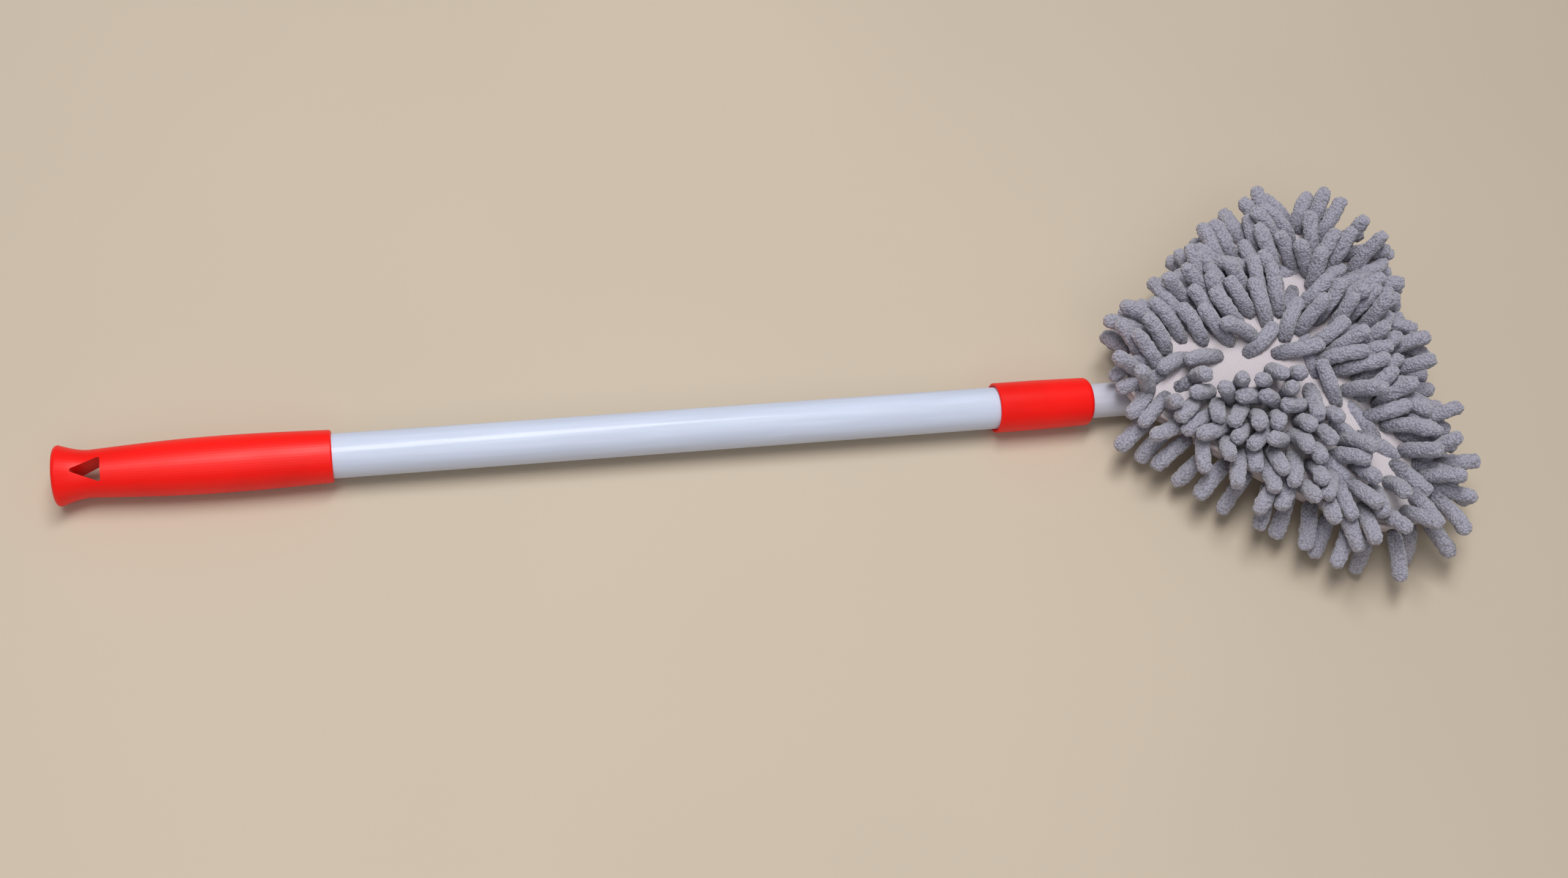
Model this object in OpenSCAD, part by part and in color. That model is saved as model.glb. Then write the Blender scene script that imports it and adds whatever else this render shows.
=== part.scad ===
// Telescopic dust mop with a triangular tufted head, folded flat over its pole.
// X runs along the pole from the butt of the grip to the head and Z is up. The origin is
// the centre of the butt's flat end, on the pole's axis. Lengths are in millimetres.

/* [Pole] */
// Outside diameter of the outer tube
tube_d = 25; // [22:0.5:28]
// Wall of both tubes
tube_wall = 0.7; // [0.5:0.1:1.2]
// Bare length of the outer tube between the grip and the collar
tube_bare = 386; // [250:1:600]
// Outside diameter of the inner tube
inner_d = 21; // [17:0.5:21.5]

/* [Grip] */
// Length of the grip
grip_len = 144; // [120:1:180]
// Diameter of the flared butt
butt_d = 33; // [30:0.5:40]
// Rounding of the butt's edge
butt_round = 2.5; // [1:0.5:4]
// Diameter of the waist beside the butt
waist_d = 25.8; // [23:0.2:28]
// Place of the waist, from the butt
waist_at = 18; // [15:0.5:24]
// Diameter of the belly
belly_d = 31.4; // [29.5:0.1:36]
// Place of the belly, from the butt
belly_at = 88; // [70:1:105]
// Diameter of the mouth that takes the tube
mouth_d = 29.3; // [28.5:0.1:34]
// Depth of solid butt behind the tube's end
tube_seat = 36; // [30:1:44]

/* [Hang hole] */
// Place of the hole's point, from the butt
hang_from = 9.5; // [7:0.5:12]
// Length of the triangular hole along the grip
hang_len = 15; // [10:0.5:18]
// Width of the hole's straight side
hang_w = 13; // [9:0.5:15]
// Rounding of the hole's corners
hang_round = 1.2; // [0.6:0.1:2]
// Turn of the hole about the pole's axis
hang_roll = 16; // [0:1:24]

/* [Collar] */
// Length of the collar
collar_len = 60; // [45:1:80]
// Diameter of the collar
collar_d = 29.9; // [29:0.1:33]
// Diameter at the collar's nose
nose_d = 29; // [27.5:0.1:29.5]
// Rounding of the nose
nose_round = 3; // [1:0.5:5]
// Length of outer tube inside the collar
collar_seat = 32; // [20:1:40]

/* [Twist lock] */
// Length of the split collet that grips the outer tube
collet_len = 24; // [18:1:36]
// Diameter of the stud that carries the collet
stud_d = 8; // [6:0.5:9]
// Large diameter of the cone that spreads the collet
cone_d = 14; // [11:0.5:16]
// Length of the cone
cone_len = 11; // [8:0.5:14]
// Length of the plug inside the inner tube
plug_len = 30; // [20:1:45]

/* [Hinge] */
// Diameter of the hinge bolt
bolt_d = 5; // [4:0.5:6]
// Thickness of the plate's lug
lug_t = 9; // [7:0.5:11]
// Thickness of each fork cheek
cheek_t = 4.2; // [3:0.2:5]
// Half height of the fork
fork_r = 9; // [7.5:0.5:10]
// Length of bare neck from the inner tube to the hinge
neck_len = 24; // [21:1:32]

/* [Head plate] */
// Length of the cover from its apex to its base
head_len = 176; // [160:1:220]
// Width of the cover across its base corners
head_w = 216; // [190:1:260]
// Radius of the apex
apex_r = 22; // [18:1:30]
// Radius of the base corners
corner_r = 36; // [28:1:44]
// Radius of the bowed sides
side_bow_r = 560; // [400:10:900]
// Radius of the bowed base
base_bow_r = 3000; // [500:10:5000]
// Gap from the collar to the cover's apex
head_gap = 20; // [16:1:60]
// Distance from the apex to the hinge
hinge_back = 105; // [95:1:120]
// Thickness of the plate
plate_t = 3; // [2:0.2:4]
// Height of the plate's rim above it
rim_h = 5; // [3:0.5:8]

/* [Tufted cover] */
// Thickness of the cover's cloth
cloth_t = 1.3; // [0.8:0.1:1.6]
// Rise of the face from its rim to its middle
crown_h = 9; // [4:0.5:14]
// Length of a chenille strand on the face
strand_len = 33; // [26:1:36]
// Length of a strand of the fringe along the sides
fringe_len = 29; // [22:1:32]
// Length of a strand of the fringe along the base
base_fringe_len = 22; // [18:1:30]
// Width of a strand
strand_w = 10; // [7:0.1:10.4]
// Thickness of a strand across its lean
strand_t = 9; // [6:0.1:9.2]
// Spacing of the strands along a row
strand_pitch = 13; // [12.5:0.5:18]

/* [Hidden] */
$fn = 64;

// Colours
red_plastic = "#f3190f";
tube_paint = "#c8cfe3";
inner_paint = "#c4c2d0";
white_plastic = "#e6e6e2";
zinc = "#b9bcc0";
plate_grey = "#8b8f98";
foam_white = "#efe9dc";
cloth_pink = "#e3d6da";
strand_grey = "#96949e";

// Clearances: pressed pieces, running pins, sliding tubes, soft seats and flat faces that turn
press_gap = 0.02;
run_gap = 0.06;
slide_gap = 0.12;
soft_gap = 0.3;
face_gap = 0.05;
// How far a cut runs past what it cuts
overrun = 1;
profile_steps = 24;

// Radii of the tubes
tube_r = tube_d / 2;
tube_bore = tube_r - tube_wall;
inner_r = inner_d / 2;
inner_bore = inner_r - tube_wall;

// Places along the pole
collar_x = grip_len + tube_bare;
collar_end = collar_x + collar_len;
tube_end = collar_x + collar_seat;
apex_x = collar_end + head_gap;
hinge_x = apex_x + hinge_back;
base_x = apex_x + head_len;
inner_front = hinge_x - neck_len;

// Collar details
lip_w = 1.1;
nose_share = 0.45;

// Grip details
mouth_round_share = 0.35;

// Twist lock: pieces from the butt end of the inner tube backwards
stop_gap = 0.5;
lock_gap = 0.2;
screw_d = 3;
screw_head_d = 6;
screw_head_h = 2;
screw_bite = 9;
cap_len = 5;
cap_d = 17;
plug_flange = 4;
plug_bore = 6;
collet_slit = 2;
collet_ribs = 3;
groove_w = 2;
groove_depth = 0.8;
collet_r = tube_bore - slide_gap;
cap_x = tube_seat + stop_gap + screw_head_h;
collet_x = cap_x + cap_len + lock_gap;
flange_x = collet_x + collet_len + lock_gap;
inner_x = flange_x + plug_flange;

// Neck and hinge
washer_t = 0.8;
washer_r = 6.5;
neck_flange = 4;
spigot_len = 34;
spigot_bore = 6;
fork_gap = lug_t + 2 * washer_t + 4 * face_gap;
fork_w = fork_gap + 2 * cheek_t;
lug_step = 1;
lug_r = fork_r - lug_step;
slot_clear = 2;
fork_depth = fork_r + slot_clear;
bolt_r = bolt_d / 2;
bolt_head_r = 4.6;
bolt_head_h = 3;
bolt_dome_h = 1;
bolt_end = 0.8;
nut_r = 4.8;
nut_h = 4;
rivet_r = 1.6;
rivet_head_r = 3.2;
rivet_head_h = 1.1;
rivet_from_end = 14;

// Head plate, from its back upwards
tube_clear = 3.5;
plate_z = inner_r + tube_clear;
plate_top = plate_z + plate_t;
rim_top = plate_top + rim_h;
plate_inset = 2.5;
rim_t = 2.4;
rib_t = 2.4;
rib_h = 6;
rib_inset = 20;
rail_y = 19;
cross_shares = [0.3, 0.52, 0.86];
pad_l = 30;
pad_w = 2 * rail_y;
pad_h = 2.6;
// How far up into the plate the ribs, the pad and the lug reach, as shares of its thickness
rib_sink_share = 0.5;
pad_sink_share = 0.3;
lug_sink_share = 0.7;

// Cover: levels and seam
hem_turn = 13;
hood_bulge = 1.8;
bulge_share = 0.46;
hem_bottom = plate_z - soft_gap - cloth_t;
hood_top = rim_top + soft_gap;
face_rim = hood_top + soft_gap;
piping_r = 1.6;
elastic_r = 0.9;
foam_inset = plate_inset + rim_t + soft_gap;
rim_count = 60;
loft_count = 60;

// Face strands: rows from the rim inwards, as shares of the way out from the parting
row_shares = [0.93, 0.74, 0.55, 0.36, 0.17];
row_lean_angles = [43, 44, 46, 49, 56];
parting_share = 0.6;
foot_share = 0.6;
foot_half_share = 0.034;
skin_shares = [0.66, 0.33];
skin_counts = [36, 18];
knee_share = 0.42;
tip_share = 0.85;
strand_bend_angle = 9;
lift_step_angle = 3;

// Fringe: the strip that carries it and how far its strands droop
strip_gap = hood_bulge + soft_gap;
strip_out = strip_gap + cloth_t;
strip_low = hem_bottom + cloth_t;
strip_high = hood_top - cloth_t;
strip_mid = (strip_low + strip_high) / 2;
side_droop_angles = [22, 40];
base_droop_angles = [0, -7];
corner_droop_angles = [18, 68];
apex_fringe_share = 0.2;
floor_z = -butt_d / 2;

// Outline of the cover: tangent arcs [centre x, centre y, radius, first angle, last angle]
apex_c = [apex_x + apex_r, 0];
base_c = base_x - base_bow_r;
corner_y = head_w / 2 - corner_r;
corner_c = [base_c + sqrt(pow(base_bow_r - corner_r, 2) - pow(corner_y, 2)), corner_y];
axis_run = norm(corner_c - apex_c);
axis_dir = (corner_c - apex_c) / axis_run;
apex_reach = side_bow_r - apex_r;
corner_reach = side_bow_r - corner_r;
reach_step = (apex_reach * apex_reach - corner_reach * corner_reach) / axis_run;
side_along = (axis_run + reach_step) / 2;
side_across = sqrt(apex_reach * apex_reach - side_along * side_along);
side_c = apex_c + side_along * axis_dir + side_across * [axis_dir[1], -axis_dir[0]];
base_turn = atan2(corner_c[1], corner_c[0] - base_c);
corner_turn = atan2(corner_c[1] - side_c[1], corner_c[0] - side_c[0]);
side_turn = atan2(apex_c[1] - side_c[1], apex_c[0] - side_c[0]);
arcs = [
    [base_c, 0, base_bow_r, 0, base_turn],
    [corner_c[0], corner_c[1], corner_r, base_turn, corner_turn],
    [side_c[0], side_c[1], side_bow_r, corner_turn, side_turn],
    [apex_c[0], apex_c[1], apex_r, side_turn, 360 - side_turn],
    [side_c[0], -side_c[1], side_bow_r, 360 - side_turn, 360 - corner_turn],
    [corner_c[0], -corner_c[1], corner_r, 360 - corner_turn, 360 - base_turn],
    [base_c, 0, base_bow_r, 360 - base_turn, 360]
];
function arc_len(k) = arcs[k][2] * (arcs[k][4] - arcs[k][3]) * PI / 180;
function arcs_before(k) = k == 0 ? 0 : arcs_before(k - 1) + arc_len(k - 1);
perimeter = arcs_before(len(arcs));
parting = [apex_x + parting_share * head_len, 0];

// A place on the outline, t turns round from the middle of the base: [x, y, angle of the outward normal]
function along_arcs(s, k) =
    s > arc_len(k) && k < len(arcs) - 1 ? along_arcs(s - arc_len(k), k + 1)
    : let (a = arcs[k][3] + s / arcs[k][2] * 180 / PI)
      [arcs[k][0] + arcs[k][2] * cos(a), arcs[k][1] + arcs[k][2] * sin(a), a];
function rim_at(t) = along_arcs((t - floor(t)) * perimeter, 0);
function out_dir(t) = let (a = rim_at(t)[2]) [cos(a), sin(a), 0];
function along_dir(t) = let (a = rim_at(t)[2]) [-sin(a), cos(a), 0];
function offset_at(t, out) = let (p = rim_at(t)) [p[0] + out * cos(p[2]), p[1] + out * sin(p[2])];
function share_at(t, share) = let (p = rim_at(t)) parting + share * ([p[0], p[1]] - parting);
function crown_at(share) = face_rim + cloth_t + crown_h * (1 - share * share);
function face_at(t, share) = let (p = share_at(t, share)) [p[0], p[1], crown_at(share)];
function outline(out, n) = [for (i = [0 : n - 1]) offset_at(i / n, out)];

// Triangles between rings of points, clockwise as seen from outside
function quad(a, b, c, d) = [[a, b, c], [a, c, d]];
function next_t(ts, i) = i < len(ts) ? ts[i] : 1 + ts[i - len(ts)];
function stitch(a0, ta, b0, tb, i = 0, j = 0) =
    let (na = len(ta), nb = len(tb))
    i == na && j == nb ? []
    : j == nb || (i < na && next_t(ta, i + 1) <= next_t(tb, j + 1))
    ? concat([[a0 + i % na, a0 + (i + 1) % na, b0 + j % nb]], stitch(a0, ta, b0, tb, i + 1, j))
    : concat([[a0 + i % na, b0 + (j + 1) % nb, b0 + j % nb]], stitch(a0, ta, b0, tb, i, j + 1));
function fan(c, a0, n) = [for (i = [0 : n - 1]) [c, a0 + (i + 1) % n, a0 + i]];
function turned(faces) = [for (f = faces) [f[0], f[2], f[1]]];
function even_ts(n) = [for (i = [0 : n - 1]) i / n];
function flat(lists) = [for (l = lists) each l];

// Closed loft round the outline of a section given as [distance outwards, height] points
module rim_loft(section) {
    m = len(section);
    n = loft_count;
    points = [for (v = section) for (j = [0 : n - 1]) let (p = offset_at(j / n, v[0])) [p[0], p[1], v[1]]];
    faces = [
        for (i = [0 : m - 1]) for (j = [0 : n - 1])
            let (u = (i + 1) % m, k = (j + 1) % n)
            each quad(i * n + j, u * n + j, u * n + k, i * n + k)
    ];
    polyhedron(points, faces);
}

function round_section(out, z, r, sides) =
    [for (i = [0 : sides - 1]) let (a = 360 * i / sides) [out + r * cos(a), z + r * sin(a)]];

// One strand: two rings of four corners and a tip, leaning at lift degrees above level
strand_point_count = 9;
function strand_ring(c, up, side) = [
    c + up - side,
    c + up + side,
    c - up + side,
    c - up - side
];
function strand_points(root, out, along, length, lift) =
    let (
        up = [0, 0, 1],
        low = cos(lift) * out + sin(lift) * up,
        high = cos(lift - strand_bend_angle) * out + sin(lift - strand_bend_angle) * up,
        knee = root + knee_share * length * low,
        bend = knee + (tip_share - knee_share) * length * high,
        tip = knee + (1 - knee_share) * length * high,
        side = strand_w / 2 * along
    )
    concat(
        strand_ring(knee, strand_t / 2 * cross(low, along), side),
        strand_ring(bend, strand_t / 2 * cross(high, along), side),
        [tip]
    );
// Triangles of a strand on a foot of four corners, with its own points from s0
function strand_faces(foot, s0) = [
    for (i = [0 : 3])
        let (k = (i + 1) % 4)
        each concat(
            quad(foot[i], foot[k], s0 + k, s0 + i),
            quad(s0 + i, s0 + k, s0 + 4 + k, s0 + 4 + i),
            [[s0 + 4 + i, s0 + 4 + k, s0 + 8]]
        )
];

// Face rows: an inner and an outer ring of cells each, every second cell carrying a strand
function row_count(k) = round(perimeter * row_shares[k] / strand_pitch);
function row_ts(k) = [
    for (m = [0 : row_count(k) - 1]) each [
        (m + (k % 2) / 2) / row_count(k),
        (m + (k % 2) / 2 + foot_share) / row_count(k)
    ]
];
function row_start(k) = k == 0 ? 0 : row_start(k - 1) + row_count(k - 1) * (4 + strand_point_count);
function row_out(k) = row_start(k) + 2 * row_count(k);
function row_strands(k) = row_start(k) + 4 * row_count(k);
function row_points(k) =
    let (ts = row_ts(k), share = row_shares[k])
    concat(
        [for (t = ts) face_at(t, share - foot_half_share)],
        [for (t = ts) face_at(t, share + foot_half_share)],
        flat([
            for (m = [0 : row_count(k) - 1])
                let (
                    t = (ts[2 * m] + ts[2 * m + 1]) / 2,
                    lift = row_lean_angles[k] + (m % 2) * lift_step_angle
                )
                strand_points(face_at(t, share), out_dir(t), along_dir(t), strand_len, lift)
        ])
    );
function row_faces(k) =
    let (a = row_start(k), b = row_out(k), s = row_strands(k), n = row_count(k))
    flat([
        for (m = [0 : n - 1])
            let (i = 2 * m, j = 2 * m + 1, l = (2 * m + 2) % (2 * n))
            concat(
                strand_faces([a + i, a + j, b + j, b + i], s + m * strand_point_count),
                quad(a + j, a + l, b + l, b + j)
            )
    ]);
rows = len(row_shares);
skin_start = row_start(rows);

// Woven face cloth with its rows of chenille strands, one closed skin
module tufted_face() {
    top_rim = skin_start;
    low_rim = top_rim + rim_count;
    low_a = low_rim + rim_count;
    low_b = low_a + skin_counts[0];
    top_mid = low_b + skin_counts[1];
    low_mid = top_mid + 1;
    rim_ts = even_ts(rim_count);
    low_ts = [even_ts(skin_counts[0]), even_ts(skin_counts[1])];
    down = [0, 0, cloth_t];
    points = concat(
        flat([for (k = [0 : rows - 1]) row_points(k)]),
        [for (t = rim_ts) face_at(t, 1)],
        [for (t = rim_ts) face_at(t, 1) - down],
        [for (t = low_ts[0]) face_at(t, skin_shares[0]) - down],
        [for (t = low_ts[1]) face_at(t, skin_shares[1]) - down],
        [[parting[0], parting[1], crown_at(0)], [parting[0], parting[1], crown_at(0) - cloth_t]]
    );
    faces = concat(
        flat([for (k = [0 : rows - 1]) row_faces(k)]),
        flat([for (k = [1 : rows - 1]) stitch(row_out(k), row_ts(k), row_start(k - 1), row_ts(k - 1))]),
        stitch(row_out(0), row_ts(0), top_rim, rim_ts),
        fan(top_mid, row_start(rows - 1), 2 * row_count(rows - 1)),
        flat([
            for (i = [0 : rim_count - 1])
                let (k = (i + 1) % rim_count)
                quad(top_rim + i, top_rim + k, low_rim + k, low_rim + i)
        ]),
        turned(stitch(low_a, low_ts[0], low_rim, rim_ts)),
        turned(stitch(low_b, low_ts[1], low_a, low_ts[0])),
        turned(fan(low_mid, low_b, skin_counts[1]))
    );
    color(strand_grey) polyhedron(points, faces);
}

// Roots of the fringe over some of the arcs, with droop angles and lengths taken in turn along each arc
function fringe_count(k) = max(2, round(arc_len(k) / strand_pitch));
function fringe_roots(ks, droops, lens) = flat([
    for (k = ks)
        let (n = fringe_count(k))
        [
            for (m = [0 : n - 1])
                [(arcs_before(k) + (m + 0.5) / n * arc_len(k)) / perimeter, droops[m % 2], lens[m % 2]]
        ]
]);
// Length at which a bent strand's tip just meets the floor
function floor_len(droop) =
    (strip_mid - floor_z) / (knee_share * sin(droop) + (1 - knee_share) * sin(droop + strand_bend_angle));

function apex_root() =
    [(arcs_before(3) + apex_fringe_share * arc_len(3)) / perimeter, side_droop_angles[0], fringe_len];

// Strip of fringe with a strand at each of its roots
module fringe(roots) {
    n = len(roots);
    half_foot = foot_share * strand_pitch / perimeter / 2;
    ts = [for (r = roots) each [r[0] - half_foot, r[0] + half_foot]];
    m = 2 * n;
    levels = [
        [strip_gap, strip_low],
        [strip_gap, strip_high],
        [strip_out, strip_high],
        [strip_out, strip_low]
    ];
    s = 4 * m;
    points = concat(
        [for (v = levels) for (t = ts) let (p = offset_at(t, v[0])) [p[0], p[1], v[1]]],
        flat([
            for (r = roots)
                let (p = offset_at(r[0], strip_out))
                strand_points(
                    [p[0], p[1], strip_mid], out_dir(r[0]), along_dir(r[0]), r[2], -r[1]
                )
        ])
    );
    low_in = 0;
    high_in = m;
    high_out = 2 * m;
    low_out = 3 * m;
    faces = concat(
        flat([
            for (j = [0 : m - 2])
                concat(
                    quad(low_in + j, low_in + j + 1, high_in + j + 1, high_in + j),
                    quad(high_in + j, high_in + j + 1, high_out + j + 1, high_out + j),
                    quad(low_out + j, low_out + j + 1, low_in + j + 1, low_in + j),
                    j % 2 == 0
                    ? strand_faces(
                        [high_out + j, high_out + j + 1, low_out + j + 1, low_out + j],
                        s + j / 2 * strand_point_count
                    )
                    : quad(high_out + j, high_out + j + 1, low_out + j + 1, low_out + j)
                )
        ]),
        quad(low_in, high_in, high_out, low_out),
        turned(quad(low_in + m - 1, high_in + m - 1, high_out + m - 1, low_out + m - 1))
    );
    color(strand_grey) polyhedron(points, faces);
}
module fringe_left()
    fringe(concat(fringe_roots([2], side_droop_angles, [fringe_len, fringe_len]), [apex_root()]));
module fringe_right() mirror([0, 1, 0]) fringe_left();
module fringe_base() fringe(fringe_roots([6, 0], base_droop_angles, [base_fringe_len, base_fringe_len]));
// Corner tufts, whose steep strands stand on the floor when the head is folded
module corner_tuft_left()
    fringe(fringe_roots([1], corner_droop_angles, [fringe_len, floor_len(corner_droop_angles[1])]));
module corner_tuft_right() mirror([0, 1, 0]) corner_tuft_left();

// Side wall of the cover and its turned-in hem
module cover_hood() {
    waist_z = hem_bottom + bulge_share * (hood_top - hem_bottom);
    color(cloth_pink) rim_loft([
        [-hem_turn, hem_bottom],
        [-cloth_t, hem_bottom],
        [hood_bulge, waist_z],
        [0, hood_top],
        [-cloth_t, hood_top],
        [hood_bulge - cloth_t, waist_z],
        [-cloth_t - soft_gap, hem_bottom + cloth_t],
        [-hem_turn, hem_bottom + cloth_t]
    ]);
}

// Elastic along the hem's inner edge
module hem_elastic() {
    color(cloth_pink) rim_loft(
        round_section(-hem_turn - soft_gap - elastic_r, plate_z - soft_gap - elastic_r, elastic_r, 4)
    );
}

// Corded edge of the cover, beside the seam of the face
module piping() {
    color(cloth_pink) rim_loft(
        round_section(soft_gap + piping_r, face_rim + cloth_t / 2, piping_r, 5)
    );
}

// Padding on the plate, crowned as the face is
module foam_pad() {
    n = loft_count;
    top = face_rim - soft_gap;
    low = plate_top + face_gap;
    ring_a = n;
    mid_a = 2 * n;
    mid_b = mid_a + skin_counts[0];
    top_mid = mid_b + skin_counts[1];
    low_mid = top_mid + 1;
    ts = even_ts(n);
    drop = cloth_t + soft_gap;
    points = concat(
        [for (t = ts) let (p = offset_at(t, -foam_inset)) [p[0], p[1], low]],
        [for (t = ts) let (p = offset_at(t, -foam_inset)) [p[0], p[1], top]],
        [for (t = even_ts(skin_counts[0])) face_at(t, skin_shares[0]) - [0, 0, drop]],
        [for (t = even_ts(skin_counts[1])) face_at(t, skin_shares[1]) - [0, 0, drop]],
        [[parting[0], parting[1], crown_at(0) - drop], [parting[0], parting[1], low]]
    );
    faces = concat(
        stitch(mid_a, even_ts(skin_counts[0]), ring_a, ts),
        stitch(mid_b, even_ts(skin_counts[1]), mid_a, even_ts(skin_counts[0])),
        fan(top_mid, mid_b, skin_counts[1]),
        flat([for (i = [0 : n - 1]) let (k = (i + 1) % n) quad(ring_a + i, ring_a + k, k, i)]),
        turned(fan(low_mid, 0, n))
    );
    color(foam_white) polyhedron(points, faces);
}

// Moves a shape drawn up Z to lie along the pole from x
module along_pole(x) translate([x, 0, 0]) rotate([0, 90, 0]) children();
module pole_rod(x, r, length) along_pole(x) cylinder(h = length, r = r);
// A shape drawn on the X-Z plane, pushed out either side of it by half the width
module across_pole(width) rotate([90, 0, 0]) linear_extrude(width, center = true) children();

// Radius of the grip at a distance from the butt
function rise(s, from, to) = sin(90 * (s - from) / (to - from));
function flare_r(s) = waist_d / 2 + (butt_d - waist_d) / 2 * (1 - rise(s, butt_round, waist_at));
function swell_r(s) = waist_d / 2 + (belly_d - waist_d) / 2 * rise(s, waist_at, belly_at);
function taper_r(s) = mouth_d / 2 + (belly_d - mouth_d) / 2 * rise(s, grip_len, belly_at);
function between(a, b, i) = a + (b - a) * i / profile_steps;

module grip() {
    mouth_round = mouth_round_share * (mouth_d / 2 - tube_r);
    profile = concat(
        [[0, 0]],
        [for (a = [0 : 15 : 90])
            [butt_d / 2 - butt_round + butt_round * sin(a), butt_round - butt_round * cos(a)]],
        [for (i = [1 : profile_steps]) let (s = between(butt_round, waist_at, i)) [flare_r(s), s]],
        [for (i = [1 : profile_steps]) let (s = between(waist_at, belly_at, i)) [swell_r(s), s]],
        [for (i = [1 : profile_steps - 1]) let (s = between(belly_at, grip_len, i)) [taper_r(s), s]],
        [[mouth_d / 2, grip_len - mouth_round], [mouth_d / 2 - mouth_round, grip_len], [0, grip_len]]
    );
    color(red_plastic) difference() {
        along_pole(0) rotate_extrude() polygon(profile);
        pole_rod(tube_seat, tube_r + press_gap, grip_len);
        rotate([hang_roll, 0, 0]) linear_extrude(butt_d + 2 * overrun, center = true) hang_outline();
    }
}

// Triangular hole, its point towards the butt, with round corners
module hang_outline() {
    long = hang_len - 2 * hang_round;
    half = hang_w / 2 - hang_round;
    corners = [[0, 0], [long, half], [long, -half]];
    slope = atan2(half, long);
    reach = hang_round * [-sin(slope), cos(slope)];
    translate([hang_from + hang_round, 0]) {
        for (c = corners) translate(c) circle(hang_round);
        polygon([
            corners[0] + reach,
            corners[1] + reach,
            corners[1] + [hang_round, 0],
            corners[2] + [hang_round, 0],
            corners[2] + [reach[0], -reach[1]],
            corners[0] + [reach[0], -reach[1]]
        ]);
    }
}

module tube(x, r, length) {
    difference() {
        pole_rod(x, r, length);
        pole_rod(x - overrun, r - tube_wall, length + 2 * overrun);
    }
}

module outer_tube() color(tube_paint) tube(tube_seat, tube_r, tube_end - tube_seat);

// Sleeve with a lipped mouth, a seat for the outer tube and a guide bore for the inner one
module collar() {
    mouth = tube_r + press_gap;
    guide = inner_r + slide_gap;
    outside = collar_d / 2;
    nose = nose_d / 2;
    color(red_plastic) along_pole(collar_x) rotate_extrude() polygon(concat(
        [
            [mouth, collar_seat],
            [mouth, lip_w],
            [mouth + lip_w, 0],
            [outside - lip_w / 2, 0],
            [outside, lip_w / 2],
            [outside, nose_share * collar_len]
        ],
        [for (a = [0 : 15 : 90])
            [nose - nose_round + nose_round * cos(a), collar_len - nose_round + nose_round * sin(a)]],
        [[guide, collar_len], [guide, collar_seat]]
    ));
}

// Plug pressed into the inner tube, with the stud and cone that spread the collet
module expander_plug() {
    plug_r = inner_bore - press_gap;
    stud_r = stud_d / 2;
    color(white_plastic) difference() {
        along_pole(0) rotate_extrude() polygon([
            [0, cap_x + cap_len],
            [stud_r, cap_x + cap_len],
            [stud_r, flange_x - cone_len],
            [cone_d / 2, flange_x],
            [inner_r, flange_x],
            [inner_r, inner_x],
            [plug_r, inner_x],
            [plug_r, inner_x + plug_len],
            [plug_bore, inner_x + plug_len],
            [plug_bore, inner_x + plug_flange],
            [0, inner_x + plug_flange]
        ]);
        pole_rod(cap_x, screw_d / 2 + press_gap, cap_len + screw_bite + overrun);
    }
}

// Split ring that grips the outer tube from the inside
module collet() {
    hole = stud_d / 2 + run_gap;
    cone_slope = (cone_d - stud_d) / 2 / cone_len;
    mouth = cone_d / 2 + run_gap - cone_slope * lock_gap;
    step = collet_len / (collet_ribs + 1);
    color(white_plastic) difference() {
        along_pole(collet_x) rotate_extrude() polygon(concat(
            [[hole, 0], [collet_r, 0]],
            flat([
                for (i = [1 : collet_ribs]) [
                    [collet_r, i * step - groove_w / 2],
                    [collet_r - groove_depth, i * step],
                    [collet_r, i * step + groove_w / 2]
                ]
            ]),
            [
                [collet_r, collet_len],
                [mouth, collet_len],
                [hole, collet_len + lock_gap - cone_len]
            ]
        ));
        translate([collet_x - overrun, 0, -collet_slit / 2])
            cube([collet_len + 2 * overrun, tube_r, collet_slit]);
    }
}

module expander_cap() {
    color(white_plastic) difference() {
        pole_rod(cap_x, cap_d / 2, cap_len);
        pole_rod(cap_x - overrun, screw_d / 2 + run_gap, cap_len + 2 * overrun);
    }
}

module cap_screw() {
    color(zinc) {
        pole_rod(cap_x - screw_head_h, screw_head_d / 2, screw_head_h);
        pole_rod(cap_x - screw_head_h / 2, screw_d / 2, screw_head_h / 2 + cap_len + screw_bite);
    }
}

module inner_tube() {
    color(inner_paint) difference() {
        tube(inner_x, inner_r, inner_front - inner_x);
        rivet_hole();
    }
}

rivet_x = inner_front - rivet_from_end;
module rivet_hole() translate([rivet_x, 0, -tube_r]) cylinder(h = tube_r, r = rivet_r + press_gap);

// Rivet through the tube and the neck's spigot, from below
module neck_rivet() {
    color(zinc) {
        translate([rivet_x, 0, -inner_r - rivet_head_h])
            cylinder(h = rivet_head_h, r1 = rivet_head_r / 2, r2 = rivet_head_r);
        translate([rivet_x, 0, -inner_r - rivet_head_h / 2])
            cylinder(h = inner_r - spigot_bore + rivet_head_h / 2, r = rivet_r);
    }
}

// Round-ended arm on the X-Z plane, from the tube's end to the hinge
module arm_outline(r, back) {
    translate([hinge_x, 0]) circle(r);
    translate([hinge_x - back, -r]) square([back, 2 * r]);
}
module hinge_hole(width) {
    translate([hinge_x, width / 2, 0]) rotate([90, 0, 0]) cylinder(h = width, r = bolt_r + run_gap);
}

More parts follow.
